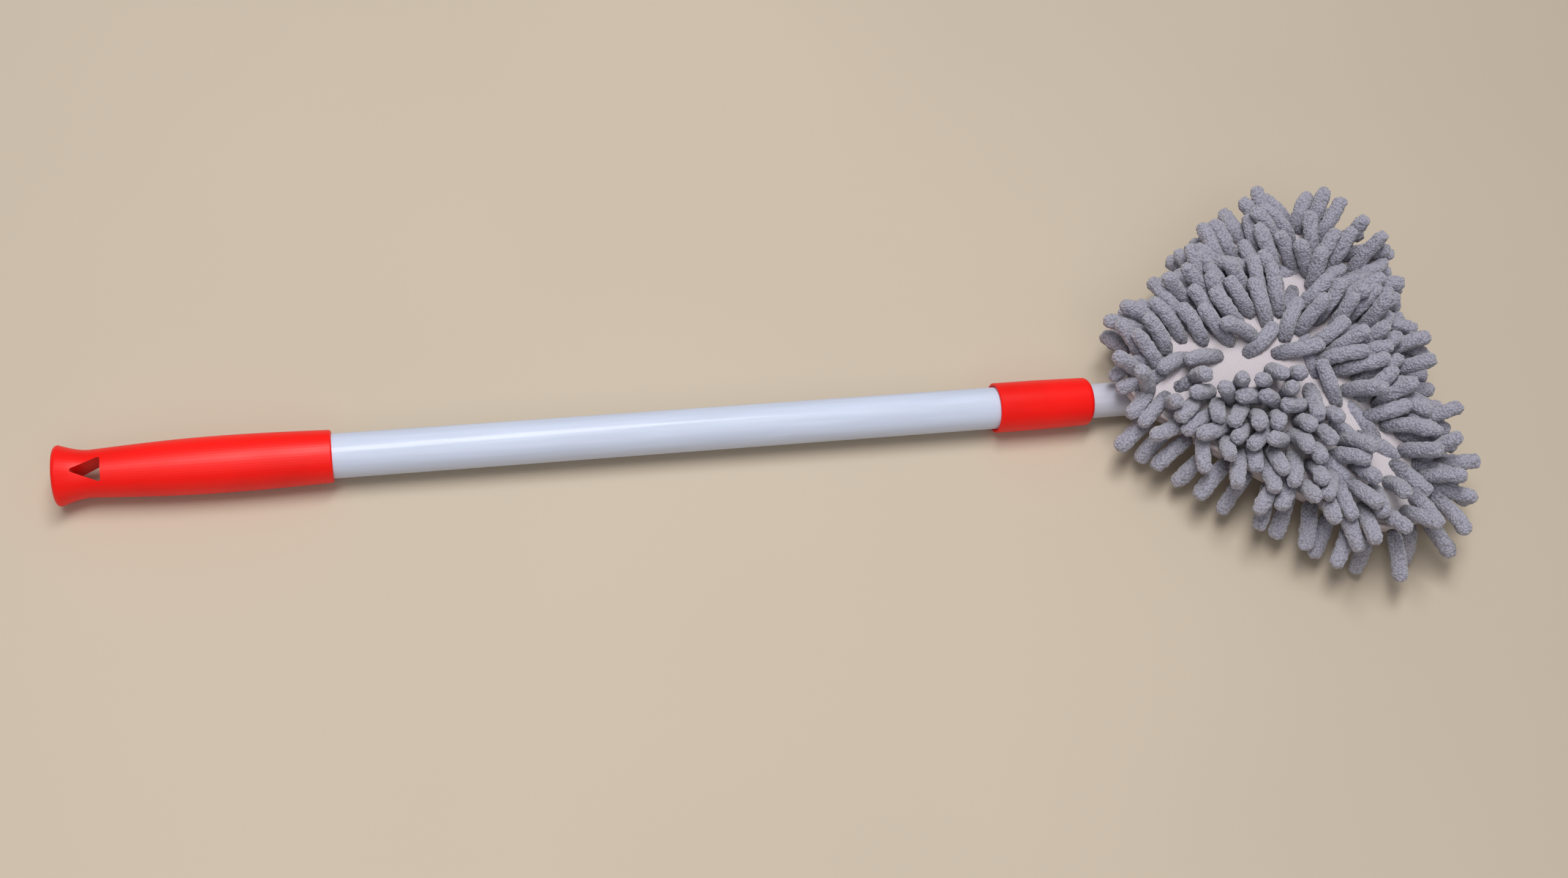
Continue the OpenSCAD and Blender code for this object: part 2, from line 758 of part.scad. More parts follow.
// Fork that carries the head, on a spigot pressed into the inner tube
module neck() {
    arm = neck_len - neck_flange;
    color(plate_grey) difference() {
        union() {
            pole_rod(inner_front - spigot_len, inner_bore - press_gap, spigot_len + neck_flange);
            pole_rod(inner_front, inner_r, neck_flange);
            across_pole(fork_w) arm_outline(fork_r, arm + overrun);
        }
        pole_rod(inner_front - spigot_len - overrun, spigot_bore, spigot_len);
        translate([hinge_x - fork_depth, -fork_gap / 2, -fork_r - overrun])
            cube([2 * fork_depth, fork_gap, 2 * (fork_r + overrun)]);
        hinge_hole(fork_w + 2 * overrun);
        rivet_hole();
    }
}

module hinge_bolt() {
    edge = bolt_head_h - bolt_dome_h;
    color(zinc) translate([hinge_x, -fork_w / 2 - edge, 0]) rotate([-90, 0, 0]) {
        cylinder(h = edge + fork_w + nut_h + bolt_end, r = bolt_r);
        cylinder(h = edge - press_gap, r = bolt_head_r);
        translate([0, 0, -bolt_dome_h])
            cylinder(h = bolt_dome_h, r1 = bolt_head_r - bolt_dome_h, r2 = bolt_head_r);
    }
}

module hinge_nut() {
    color(zinc) translate([hinge_x, fork_w / 2 + press_gap, 0]) rotate([-90, 0, 0]) difference() {
        cylinder(h = nut_h, r = nut_r, $fn = 6);
        translate([0, 0, -overrun]) cylinder(h = nut_h + 2 * overrun, r = bolt_r + press_gap);
    }
}

module hinge_washers() {
    washer_y = lug_t / 2 + face_gap + washer_t / 2;
    color(zinc) for (side = [-1, 1]) {
        translate([hinge_x, side * washer_y, 0]) rotate([90, 0, 0]) difference() {
            cylinder(h = washer_t, r = washer_r, center = true);
            cylinder(h = washer_t + 2 * overrun, r = bolt_r + run_gap, center = true);
        }
    }
}

// Ribbed triangular plate with the hinge lug on its back
module head_plate() {
    color(plate_grey) difference() {
        union() {
            translate([0, 0, plate_z]) linear_extrude(plate_t) polygon(outline(-plate_inset, rim_count));
            translate([0, 0, plate_z]) linear_extrude(plate_t + rim_h) difference() {
                polygon(outline(-plate_inset, rim_count));
                polygon(outline(-plate_inset - rim_t, rim_count));
            }
            intersection() {
                translate([0, 0, plate_z - rib_h]) linear_extrude(rib_h + rib_sink_share * plate_t)
                    polygon(outline(-rib_inset, rim_count));
                plate_ribs();
            }
            translate([hinge_x - pad_l / 2, -pad_w / 2, plate_z - pad_h])
                cube([pad_l, pad_w, pad_h + pad_sink_share * plate_t]);
            across_pole(lug_t) lug_outline();
        }
        hinge_hole(lug_t + 2 * overrun);
    }
}

// Rails that flank the pole, and cross ribs from them to the sides
module plate_ribs() {
    low = plate_z - rib_h;
    for (side = [-1, 1]) {
        translate([apex_x, side * rail_y - rib_t / 2, low]) cube([head_len, rib_t, rib_h + plate_t]);
        for (share = cross_shares)
            translate([apex_x + share * head_len, side > 0 ? rail_y : -head_w / 2, low])
                cube([rib_t, head_w / 2 - rail_y, rib_h + plate_t]);
    }
}

module lug_outline() {
    translate([hinge_x, 0]) circle(lug_r);
    translate([hinge_x - lug_r, 0]) square([2 * lug_r, plate_z + lug_sink_share * plate_t]);
}

grip();
outer_tube();
collar();
collet();
inner_tube();
expander_plug();
expander_cap();
cap_screw();
neck();
neck_rivet();
hinge_bolt();
hinge_nut();
hinge_washers();
head_plate();
foam_pad();
cover_hood();
hem_elastic();
piping();
tufted_face();
fringe_left();
fringe_right();
fringe_base();
corner_tuft_left();
corner_tuft_right();
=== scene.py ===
"""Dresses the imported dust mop: a telescopic pole with a folded head in a tufted chenille cover."""

import logging
import math
import random
from collections.abc import Callable, Sequence
from dataclasses import dataclass, field
from enum import Enum, IntEnum

import bmesh
import bpy
from mathutils import Matrix, Vector, kdtree, noise


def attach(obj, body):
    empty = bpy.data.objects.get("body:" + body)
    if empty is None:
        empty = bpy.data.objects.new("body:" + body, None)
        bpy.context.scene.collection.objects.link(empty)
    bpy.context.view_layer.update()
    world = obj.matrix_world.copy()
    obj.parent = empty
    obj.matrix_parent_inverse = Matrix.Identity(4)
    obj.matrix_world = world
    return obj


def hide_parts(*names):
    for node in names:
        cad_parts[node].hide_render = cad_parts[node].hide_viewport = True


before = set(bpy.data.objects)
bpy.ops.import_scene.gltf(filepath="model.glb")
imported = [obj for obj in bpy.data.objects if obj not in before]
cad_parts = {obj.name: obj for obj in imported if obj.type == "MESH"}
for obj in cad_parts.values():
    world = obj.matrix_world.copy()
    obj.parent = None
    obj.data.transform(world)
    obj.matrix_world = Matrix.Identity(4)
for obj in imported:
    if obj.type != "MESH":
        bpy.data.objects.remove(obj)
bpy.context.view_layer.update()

MM = 0.001
HEAD = "head"
# Vertex attribute that holds the strands' painted shade: darker towards each root and on each underside.
PAINTED_SHADE = "depth"
APEX_TURN = 0.5
CLOTH_THICKNESS = 0.0007
OPEN_CLOTH = 1e9
LOG = logging.getLogger("dust_mop")
Span = tuple[float, float]
Place = tuple[float, float, float]
Colour = tuple[float, float, float]
Wave = Callable[[int, float], Span]
Loft = tuple[list, list, "ClothMap"]


class Slot(Enum):
    """Names of the record's material slots for the pieces made here; no piece is given one here."""

    CLOTH = "cloth"
    CHENILLE = "chenille"
    FOAM = "foam"


class Edge(IntEnum):
    """Arcs of the cover's outline, in order round it from the middle of the base."""

    BASE_LEFT = 0
    CORNER_LEFT = 1
    SIDE_LEFT = 2
    APEX = 3
    SIDE_RIGHT = 4
    CORNER_RIGHT = 5
    BASE_RIGHT = 6


class Zone(Enum):
    """The three fields of strands that the partings of the cover divide."""

    LEFT = "left"
    RIGHT = "right"
    BASE = "base"


def linear(red: int, green: int, blue: int) -> Colour:
    """Turns a colour as seen on a screen into the shader's linear values.

    Args:
        red: Red from 0 to 255.
        green: Green from 0 to 255.
        blue: Blue from 0 to 255.

    Returns:
        The three linear values.
    """
    shares = (red / 255, green / 255, blue / 255)
    return tuple(s / 12.92 if s <= 0.04045 else ((s + 0.055) / 1.055) ** 2.4 for s in shares)


class ShaderTree:
    """A material's node tree with its Principled shader, and short calls for the nodes it needs."""

    def __init__(self, name: str) -> None:
        """Starts a material with an output, a Principled shader and Object coordinates."""
        self.material = bpy.data.materials.new(name)
        self.material.use_nodes = True
        self.tree = self.material.node_tree
        self.tree.nodes.clear()
        output = self.tree.nodes.new("ShaderNodeOutputMaterial")
        self.shader = self.tree.nodes.new("ShaderNodeBsdfPrincipled")
        self.tree.links.new(self.shader.outputs["BSDF"], output.inputs["Surface"])
        self.coordinates = self.tree.nodes.new("ShaderNodeTexCoord")
        self.place = self.coordinates.outputs["Object"]

    def follow_cloth(self) -> None:
        """Makes patterns follow the piece's own UV map, which is in metres along the cloth."""
        self.place = self.coordinates.outputs["UV"]

    def feed(self, node: bpy.types.Node, **values: object) -> bpy.types.Node:
        """Sets or links a node's inputs.

        Args:
            node: The node to feed.
            values: Input names, with underscores for spaces, and sockets or constants.

        Returns:
            The same node.
        """
        for name, value in values.items():
            socket = node.inputs[name.replace("_", " ")]
            if isinstance(value, bpy.types.NodeSocket):
                self.tree.links.new(value, socket)
            elif isinstance(value, tuple) and len(value) == 3 and socket.type == "RGBA":
                socket.default_value = (*value, 1.0)
            else:
                socket.default_value = value
        return node

    def surface(self, **values: object) -> None:
        """Sets or links inputs of the Principled shader."""
        self.feed(self.shader, **values)

    def mapped(self, scale: Place, turn: float = 0.0) -> bpy.types.NodeSocket:
        """Gives Object coordinates stretched by scale and turned about Z.

        Args:
            scale: Factors along X, Y and Z.
            turn: Turn about Z in degrees.

        Returns:
            The vector socket.
        """
        node = self.tree.nodes.new("ShaderNodeMapping")
        self.feed(node, Vector=self.place, Scale=scale, Rotation=(0.0, 0.0, math.radians(turn)))
        return node.outputs["Vector"]

    def cloud(self, size: float, detail: float = 2.0, vector: bpy.types.NodeSocket | None = None):
        """Noise whose blotches are about that many metres across.

        Args:
            size: Size of a blotch in metres.
            detail: Octaves of finer noise.
            vector: Coordinates, or Object coordinates if left out.

        Returns:
            The factor socket.
        """
        node = self.tree.nodes.new("ShaderNodeTexNoise")
        self.feed(node, Vector=vector or self.place, Scale=1.0 / size, Detail=detail, Roughness=0.55)
        return node.outputs["Fac"]

    def cells(self, size: float) -> bpy.types.NodeSocket:
        """Distance to the nearest of scattered points that many metres apart."""
        node = self.tree.nodes.new("ShaderNodeTexVoronoi")
        self.feed(node, Vector=self.place, Scale=1.0 / size)
        return node.outputs["Distance"]

    def threads(self, pitch: float, turn: float) -> bpy.types.NodeSocket:
        """Rows of round threads across the surface.

        Args:
            pitch: Distance between threads in metres.
            turn: Direction of the rows about Z in degrees.

        Returns:
            The factor socket.
        """
        node = self.tree.nodes.new("ShaderNodeTexWave")
        node.wave_type = "BANDS"
        node.bands_direction = "X"
        node.wave_profile = "SIN"
        vector = self.mapped((1.0, 1.0, 1.0), turn)
        self.feed(node, Vector=vector, Scale=math.tau / 20.0 / pitch, Distortion=0.6, Detail=1.0)
        return node.outputs["Fac"]

    def ramp(self, factor: bpy.types.NodeSocket, low: Colour, high: Colour, span: Span):
        """Blends two colours as a factor goes over a span.

        Args:
            factor: The driving socket.
            low: Colour at the span's start.
            high: Colour at the span's end.
            span: Factor values at the two ends.

        Returns:
            The colour socket.
        """
        node = self.tree.nodes.new("ShaderNodeValToRGB")
        first, last = node.color_ramp.elements
        first.position, last.position = span
        first.color, last.color = (*low, 1.0), (*high, 1.0)
        self.feed(node, Fac=factor)
        return node.outputs["Color"]

    def spread(self, factor: bpy.types.NodeSocket, low: float, high: float) -> bpy.types.NodeSocket:
        """Maps a factor from 0 to 1 onto a range of plain numbers."""
        node = self.tree.nodes.new("ShaderNodeMapRange")
        self.feed(node, Value=factor, To_Min=low, To_Max=high)
        return node.outputs["Result"]

    def attribute(self, name: str) -> bpy.types.NodeSocket:
        """Gives a number that the mesh carries at its vertices."""
        node = self.tree.nodes.new("ShaderNodeAttribute")
        node.attribute_name = name
        return node.outputs["Fac"]

    def both(self, first: bpy.types.NodeSocket, second: bpy.types.NodeSocket, how: str):
        """Joins two factors by a Math operation such as ADD, MULTIPLY or MAXIMUM."""
        node = self.tree.nodes.new("ShaderNodeMath")
        node.operation = how
        self.tree.links.new(first, node.inputs[0])
        self.tree.links.new(second, node.inputs[1])
        return node.outputs["Value"]

    def bump(self, height: bpy.types.NodeSocket, depth: float, strength: float, under=None):
        """Relief of that depth in metres from a height factor.

        Args:
            height: The height factor.
            depth: Depth of the relief in metres.
            strength: Share of the relief that shows.
            under: A coarser relief below this one, if any.

        Returns:
            The normal socket.
        """
        node = self.tree.nodes.new("ShaderNodeBump")
        self.feed(node, Height=height, Distance=depth, Strength=strength)
        if under is not None:
            self.feed(node, Normal=under)
        return node.outputs["Normal"]


@dataclass(frozen=True)
class Finish:
    """A named surface finish with its main colour and roughness."""

    name: str
    colour: Colour
    roughness: float

    def grow(self, tree: ShaderTree) -> None:
        """Adds the finish's own nodes; each kind of finish has its own."""
        raise NotImplementedError

    def material(self) -> bpy.types.Material:
        """Makes the finish's material."""
        tree = ShaderTree(self.name)
        self.grow(tree)
        return tree.material


@dataclass(frozen=True)
class MouldedPlastic(Finish):
    """Moulded plastic with a faint cloudiness, fine orange peel and rubbed patches."""

    peel: float = 0.0011
    gloss: float = 0.2

    def grow(self, tree: ShaderTree) -> None:
        """Adds cloudy colour, uneven gloss and orange peel."""
        deep = tuple(c * 0.88 for c in self.colour)
        rubbed = tree.cloud(0.035, detail=3.0)
        tree.surface(
            Base_Color=tree.ramp(tree.cloud(0.05), deep, self.colour, span=(0.3, 0.62)),
            Roughness=tree.spread(rubbed, self.roughness - 0.07, self.roughness + 0.09),
            Specular_IOR_Level=self.gloss,
            Normal=tree.bump(tree.cloud(self.peel, detail=1.0), depth=0.00004, strength=0.35),
        )


@dataclass(frozen=True)
class TubePaint(Finish):
    """Smooth powder coat on steel tube, with faint rub marks along the tube."""

    coat: float = 0.24

    def grow(self, tree: ShaderTree) -> None:
        """Adds even paint, long rub marks and a fine powder texture."""
        dull = tuple(c * 0.93 for c in self.colour)
        rub = tree.cloud(0.004, detail=3.0, vector=tree.mapped((0.06, 1.0, 1.0)))
        tree.surface(
            Base_Color=tree.ramp(rub, dull, self.colour, span=(0.35, 0.6)),
            Roughness=tree.spread(rub, self.roughness + 0.08, self.roughness - 0.04),
            Coat_Weight=self.coat,
            Coat_Roughness=0.1,
            Normal=tree.bump(tree.cloud(0.0012), depth=0.00003, strength=0.3),
        )


@dataclass(frozen=True)
class PlatedSteel(Finish):
    """Zinc-plated steel with a cloudy passivated tint."""

    def grow(self, tree: ShaderTree) -> None:
        """Adds metal with uneven tint and roughness."""
        tint = tuple(c * f for c, f in zip(self.colour, (0.82, 0.84, 0.9)))
        patch = tree.cloud(0.003, detail=3.0)
        tree.surface(
            Base_Color=tree.ramp(patch, tint, self.colour, span=(0.35, 0.65)),
            Metallic=1.0,
            Roughness=tree.spread(patch, self.roughness - 0.08, self.roughness + 0.1),
            Normal=tree.bump(tree.cloud(0.0006), depth=0.00002, strength=0.4),
        )


@dataclass(frozen=True)
class WovenCloth(Finish):
    """Plain woven polyester: crossing threads, slight soiling and a soft sheen."""

    pitch: float = 0.0009

    def grow(self, tree: ShaderTree) -> None:
        """Adds crossing threads, thread shadows and faint soiling."""
        tree.follow_cloth()
        warp, weft = tree.threads(self.pitch, 28.0), tree.threads(self.pitch, 118.0)
        weave = tree.both(warp, weft, "MULTIPLY")
        gap = tuple(c * 0.62 for c in self.colour)
        soil = tree.cloud(0.03, detail=3.0)
        rumple = tree.bump(soil, depth=0.0012, strength=0.4)
        tree.surface(
            Base_Color=tree.ramp(weave, gap, self.colour, span=(0.02, 0.4)),
            Roughness=tree.spread(soil, self.roughness - 0.08, self.roughness),
            Sheen_Weight=0.25,
            Sheen_Roughness=0.5,
            Normal=tree.bump(weave, depth=0.0003, strength=0.7, under=rumple),
        )


@dataclass(frozen=True)
class SewingThread(Finish):
    """Twisted sewing thread with a slight sheen."""

    ply: float = 0.0004

    def grow(self, tree: ShaderTree) -> None:
        """Adds the shade between the plies and their relief."""
        plies = tree.cloud(self.ply)
        shade = tuple(c * 0.75 for c in self.colour)
        tree.surface(
            Base_Color=tree.ramp(plies, shade, self.colour, span=(0.35, 0.6)),
            Roughness=self.roughness,
            Sheen_Weight=0.3,
            Normal=tree.bump(plies, depth=0.0001, strength=0.5),
        )


@dataclass(frozen=True)
class ChenillePile(Finish):
    """Microfibre chenille: short dense pile in small nubs, with painted shade between the nubs, towards
    the strands' roots and on their undersides, so paler at their tips.
    """

    nub: float = 0.0015
    fibre: float = 0.0004

    def grow(self, tree: ShaderTree) -> None:
        """Adds nubs of pile, painted shade between them, painted shade from the depth attribute towards
        the roots and undersides, and a fibre relief.
        """
        nubs, fibres = tree.cells(self.nub), tree.cloud(self.fibre)
        pale, dark = tuple(min(1.0, c * 1.1) for c in self.colour), tuple(c * 0.15 for c in self.colour)
        # Painted shade: the colour darkens between the nubs, towards the strands' roots and on their
        # undersides.
        shade = tree.both(tree.spread(nubs, 0.0, 0.6), tree.spread(tree.attribute(PAINTED_SHADE), 0.0, 0.5), "ADD")
        relief = tree.bump(tree.spread(nubs, 1.0, 0.0), depth=0.0012, strength=0.8)
        tree.surface(
            Base_Color=tree.ramp(shade, pale, dark, span=(0.12, 0.95)),
            Roughness=self.roughness,
            Sheen_Weight=0.45,
            Sheen_Roughness=0.5,
            Specular_IOR_Level=0.1,
            Normal=tree.bump(fibres, depth=0.0004, strength=0.5, under=relief),
        )


@dataclass(frozen=True)
class OpenFoam(Finish):
    """Open-cell foam with small pores."""

    pore: float = 0.0012

    def grow(self, tree: ShaderTree) -> None:
        """Adds painted shade in the pores to the colour, and the pores to the relief."""
        cells = tree.cells(self.pore)
        # Painted shade: darker in the pores.
        pore_shade = tuple(c * 0.55 for c in self.colour)
        tree.surface(
            Base_Color=tree.ramp(cells, pore_shade, self.colour, span=(0.1, 0.4)),
            Roughness=self.roughness,
            Normal=tree.bump(cells, depth=0.0005, strength=0.8),
        )


@dataclass(frozen=True)
class PaleFloor(Finish):
    """Plain pale studio floor."""

    def grow(self, tree: ShaderTree) -> None:
        """Adds a barely uneven plain colour."""
        dull = tuple(c * 0.97 for c in self.colour)
        tree.surface(
            Base_Color=tree.ramp(tree.cloud(0.4), dull, self.colour, span=(0.35, 0.65)),
            Roughness=self.roughness,
            Specular_IOR_Level=0.2,
        )


RED_PLASTIC = MouldedPlastic("red moulded plastic", linear(252, 14, 4), 0.4, gloss=0.34)
GREY_PLASTIC = MouldedPlastic("grey moulded plastic", linear(150, 152, 158), 0.5, gloss=0.4)
NATURAL_NYLON = MouldedPlastic("natural nylon", linear(232, 231, 224), 0.45, gloss=0.4)
TUBE_PAINT = TubePaint("blue-grey tube paint", linear(204, 213, 235), 0.5)
INNER_PAINT = TubePaint("grey-white tube paint", linear(202, 203, 218), 0.5)
ZINC = PlatedSteel("zinc-plated steel", linear(205, 207, 210), 0.34)
FACE_CLOTH = WovenCloth("pinkish white woven cloth", linear(238, 228, 234), 0.85)
HEM_CLOTH = WovenCloth("woven hem cloth", linear(226, 212, 216), 0.88, pitch=0.0007)
SEAM_THREAD = SewingThread("sewing thread", linear(230, 220, 222), 0.7)
CHENILLE = ChenillePile("grey chenille pile", linear(171, 169, 185), 0.95)
FOAM = OpenFoam("cream foam", linear(240, 232, 214), 0.95)
FLOOR = PaleFloor("pale floor", linear(200, 186, 168), 0.7)


@dataclass(frozen=True)
class Arc:
    """One arc of the cover's outline, in millimetres and radians."""

    x: float
    y: float
    radius: float
    start: float
    stop: float

    @property
    def length(self) -> float:
        """Length along the arc."""
        return self.radius * (self.stop - self.start)

    def at(self, run: float) -> Place:
        """Gives x, y and the outward normal's angle, run millimetres along the arc."""
        turn = self.start + run / self.radius
        return self.x + self.radius * math.cos(turn), self.y + self.radius * math.sin(turn), turn


@dataclass
class CoverOutline:
    """Plan of the head's cover: tangent arcs round a bowed triangle, in millimetres."""

    apex_x: float = 610.0
    length: float = 176.0
    width: float = 216.0
    apex_r: float = 22.0
    corner_r: float = 36.0
    side_bow_r: float = 560.0
    base_bow_r: float = 3000.0
    parting_share: float = 0.6
    arcs: list[Arc] = field(default_factory=list)

    def __post_init__(self) -> None:
        """Works out the arcs and where the partings meet."""
        apex = Vector((self.apex_x + self.apex_r, 0.0))
        base_x = self.apex_x + self.length - self.base_bow_r
        corner_y = self.width / 2 - self.corner_r
        corner_x = base_x + math.sqrt((self.base_bow_r - self.corner_r) ** 2 - corner_y**2)
        corner = Vector((corner_x, corner_y))
        run = (corner - apex).length
        ahead = (corner - apex) / run
        near, far = self.side_bow_r - self.apex_r, self.side_bow_r - self.corner_r
        along = (near**2 - far**2 + run**2) / (2 * run)
        across = math.sqrt(near**2 - along**2)
        side = apex + along * ahead + across * Vector((ahead.y, -ahead.x))
        a = math.atan2(corner.y, corner.x - base_x)
        b = math.atan2(corner.y - side.y, corner.x - side.x)
        c = math.atan2(apex.y - side.y, apex.x - side.x)
        full = math.tau
        self.arcs = [
            Arc(base_x, 0.0, self.base_bow_r, 0.0, a),
            Arc(corner.x, corner.y, self.corner_r, a, b),
            Arc(side.x, side.y, self.side_bow_r, b, c),
            Arc(apex.x, 0.0, self.apex_r, c, full - c),
            Arc(side.x, -side.y, self.side_bow_r, full - c, full - b),
            Arc(corner.x, -corner.y, self.corner_r, full - b, full - a),
            Arc(base_x, 0.0, self.base_bow_r, full - a, full),
        ]
        self.perimeter = sum(arc.length for arc in self.arcs)
        self.parting = Vector((self.apex_x + self.parting_share * self.length, 0.0))
        self.corner_turn = sum(self.arc_span(Edge.CORNER_LEFT)) / 2

    def place(self, t: float) -> Place:
        """Gives x, y and the outward normal's angle, t turns round from the middle of the base."""
        run = (t % 1.0) * self.perimeter
        for arc in self.arcs[:-1]:
            if run <= arc.length:
                return arc.at(run)
            run -= arc.length
        return self.arcs[-1].at(run)

    def offset(self, t: float, out: float) -> Vector:
        """Gives the point that lies out millimetres outside the outline at t."""
        x, y, turn = self.place(t)
        return Vector((x + out * math.cos(turn), y + out * math.sin(turn)))

    def inside(self, t: float, share: float) -> Vector:
        """Gives the point a share of the way from the partings' meeting to the outline at t."""
        x, y, _ = self.place(t)
        return self.parting + share * (Vector((x, y)) - self.parting)

    def arc_span(self, edge: Edge) -> Span:
        """Gives the turns at which an arc starts and stops."""
        before = sum(arc.length for arc in self.arcs[:edge])
        return before / self.perimeter, (before + self.arcs[edge].length) / self.perimeter

    def zone(self, t: float) -> Zone:
        """Says which field of strands a place on the outline belongs to."""
        turn = t % 1.0
        if turn < self.corner_turn or turn > 1.0 - self.corner_turn:
            return Zone.BASE
        return Zone.LEFT if turn < APEX_TURN else Zone.RIGHT

    def nearest_parting(self, t: float) -> Span:
        """Finds the parting nearest to a place on the outline.

        Args:
            t: The place, in turns from the middle of the base.

        Returns:
            The distance to its end along the outline in millimetres, and the angle at which it runs out.
        """
        ends = (self.corner_turn, APEX_TURN, 1.0 - self.corner_turn)
        end = min(ends, key=lambda turn: abs(turn - t % 1.0))
        x, y, _ = self.place(end)
        return abs(end - t % 1.0) * self.perimeter, math.atan2(y - self.parting.y, x - self.parting.x)

    def zone_turn(self, zone: Zone) -> float:
        """Gives the angle of the normal in the middle of a zone's edge."""
        if zone is Zone.BASE:
            return 0.0
        arc = self.arcs[Edge.SIDE_LEFT if zone is Zone.LEFT else Edge.SIDE_RIGHT]
        return (arc.start + arc.stop) / 2


@dataclass
class CoverLevels:
    """Heights of the cover above the pole's axis, in millimetres."""

    plate_top: float = 17.0
    face_rim: float = 22.6
    cloth: float = 1.3
    crown: float = 9.0
    fringe: float = 17.35
    floor: float = -16.5

    def face(self, share: float) -> float:
        """Gives the height of the face cloth's top at a share of the way out."""
        return self.face_rim + self.cloth + self.crown * (1.0 - share * share)


@dataclass
class Strand:
    """One chenille strand: where it leaves the cloth, how it leans and how it bends."""

    root: Vector
    turn: float
    lift: float
    droop: float
    sway: float
    length: float
    thick: float
    lowest: float = 0.2


@dataclass
class StrandMaker:
    """Lofts strands as soft capsules of a few dozen faces each, in millimetres."""

    sides: int = 8
    rings: tuple[float, ...] = (-0.06, 0.02, 0.25, 0.48, 0.7, 0.86, 0.965, 1.0)
    girths: tuple[float, ...] = (0.0, 0.9, 0.98, 1.0, 1.0, 1.0, 0.78, 0.0)
    steps: int = 6
    lumpy: float = 0.1
    lump_rise: float = 1.7
    lump_scale: float = 0.61
    # Painted shade written into the depth attribute, at the root and on the underside.
    painted_root_shade: float = 0.8
    painted_under_shade: float = 0.2
    upright: float = 1e-4

    def spine(self, strand: Strand, share: float) -> tuple[Vector, Vector]:
        """Gives the point and direction a share of the way along a strand.

        Args:
            strand: The strand.
            share: Share of its length, which may be a little below zero.

        Returns:
            The point in millimetres and the unit direction there.
        """
        point = strand.root.copy()
        heading = self.heading(strand, 0.0)
        if share <= 0.0:
            return point + heading * share * strand.length, heading
        for step in range(self.steps):
            heading = self.heading(strand, share * (step + 0.5) / self.steps)
            point += heading * share * strand.length / self.steps
        return point, self.heading(strand, share)

    @staticmethod
    def heading(strand: Strand, share: float) -> Vector:
        """Gives a strand's unit direction a share of the way along it."""
        turn = strand.turn + strand.sway * share
        lift = strand.lift - strand.droop * share
        flat = math.cos(lift)
        return Vector((flat * math.cos(turn), flat * math.sin(turn), math.sin(lift)))

    def add(self, bm: bmesh.types.BMesh, strand: Strand) -> None:
        """Adds one strand to a mesh, with painted shade towards its root and on its underside.

        Args:
            bm: The mesh, in metres.
            strand: The strand, in millimetres.
        """
        last = len(self.rings) - 1
        # This layer holds each vertex's painted shade.
        depth = bm.verts.layers.float.get(PAINTED_SHADE) or bm.verts.layers.float.new(PAINTED_SHADE)
        made = bmesh.ops.create_uvsphere(bm, u_segments=self.sides, v_segments=last, radius=1.0)
        for vert in made["verts"]:
            level = round((1.0 - math.acos(max(-1.0, min(1.0, vert.co.z))) / math.pi) * last)
            around = math.atan2(vert.co.y, vert.co.x)
            centre, ahead = self.spine(strand, self.rings[level])
            across = ahead.cross(Vector((0.0, 0.0, 1.0)))
            across = across.normalized() if across.length > self.upright else Vector((0.0, 1.0, 0.0))
            above = across.cross(ahead)
            spot = Vector((strand.root.x, strand.root.y, self.lump_rise * level))
            lumps = 1.0 + self.lumpy * noise.noise(spot * self.lump_scale)
            girth = strand.thick / 2 * self.girths[level] * lumps
            vert.co = MM * (centre + girth * (math.cos(around) * across + math.sin(around) * above))
            # Painted shade: darker towards the root and on the underside of the strand.
            root = self.painted_root_shade * max(0.0, 1.0 - 2.0 * self.rings[level])
            vert[depth] = root + self.painted_under_shade * max(0.0, -math.sin(around))


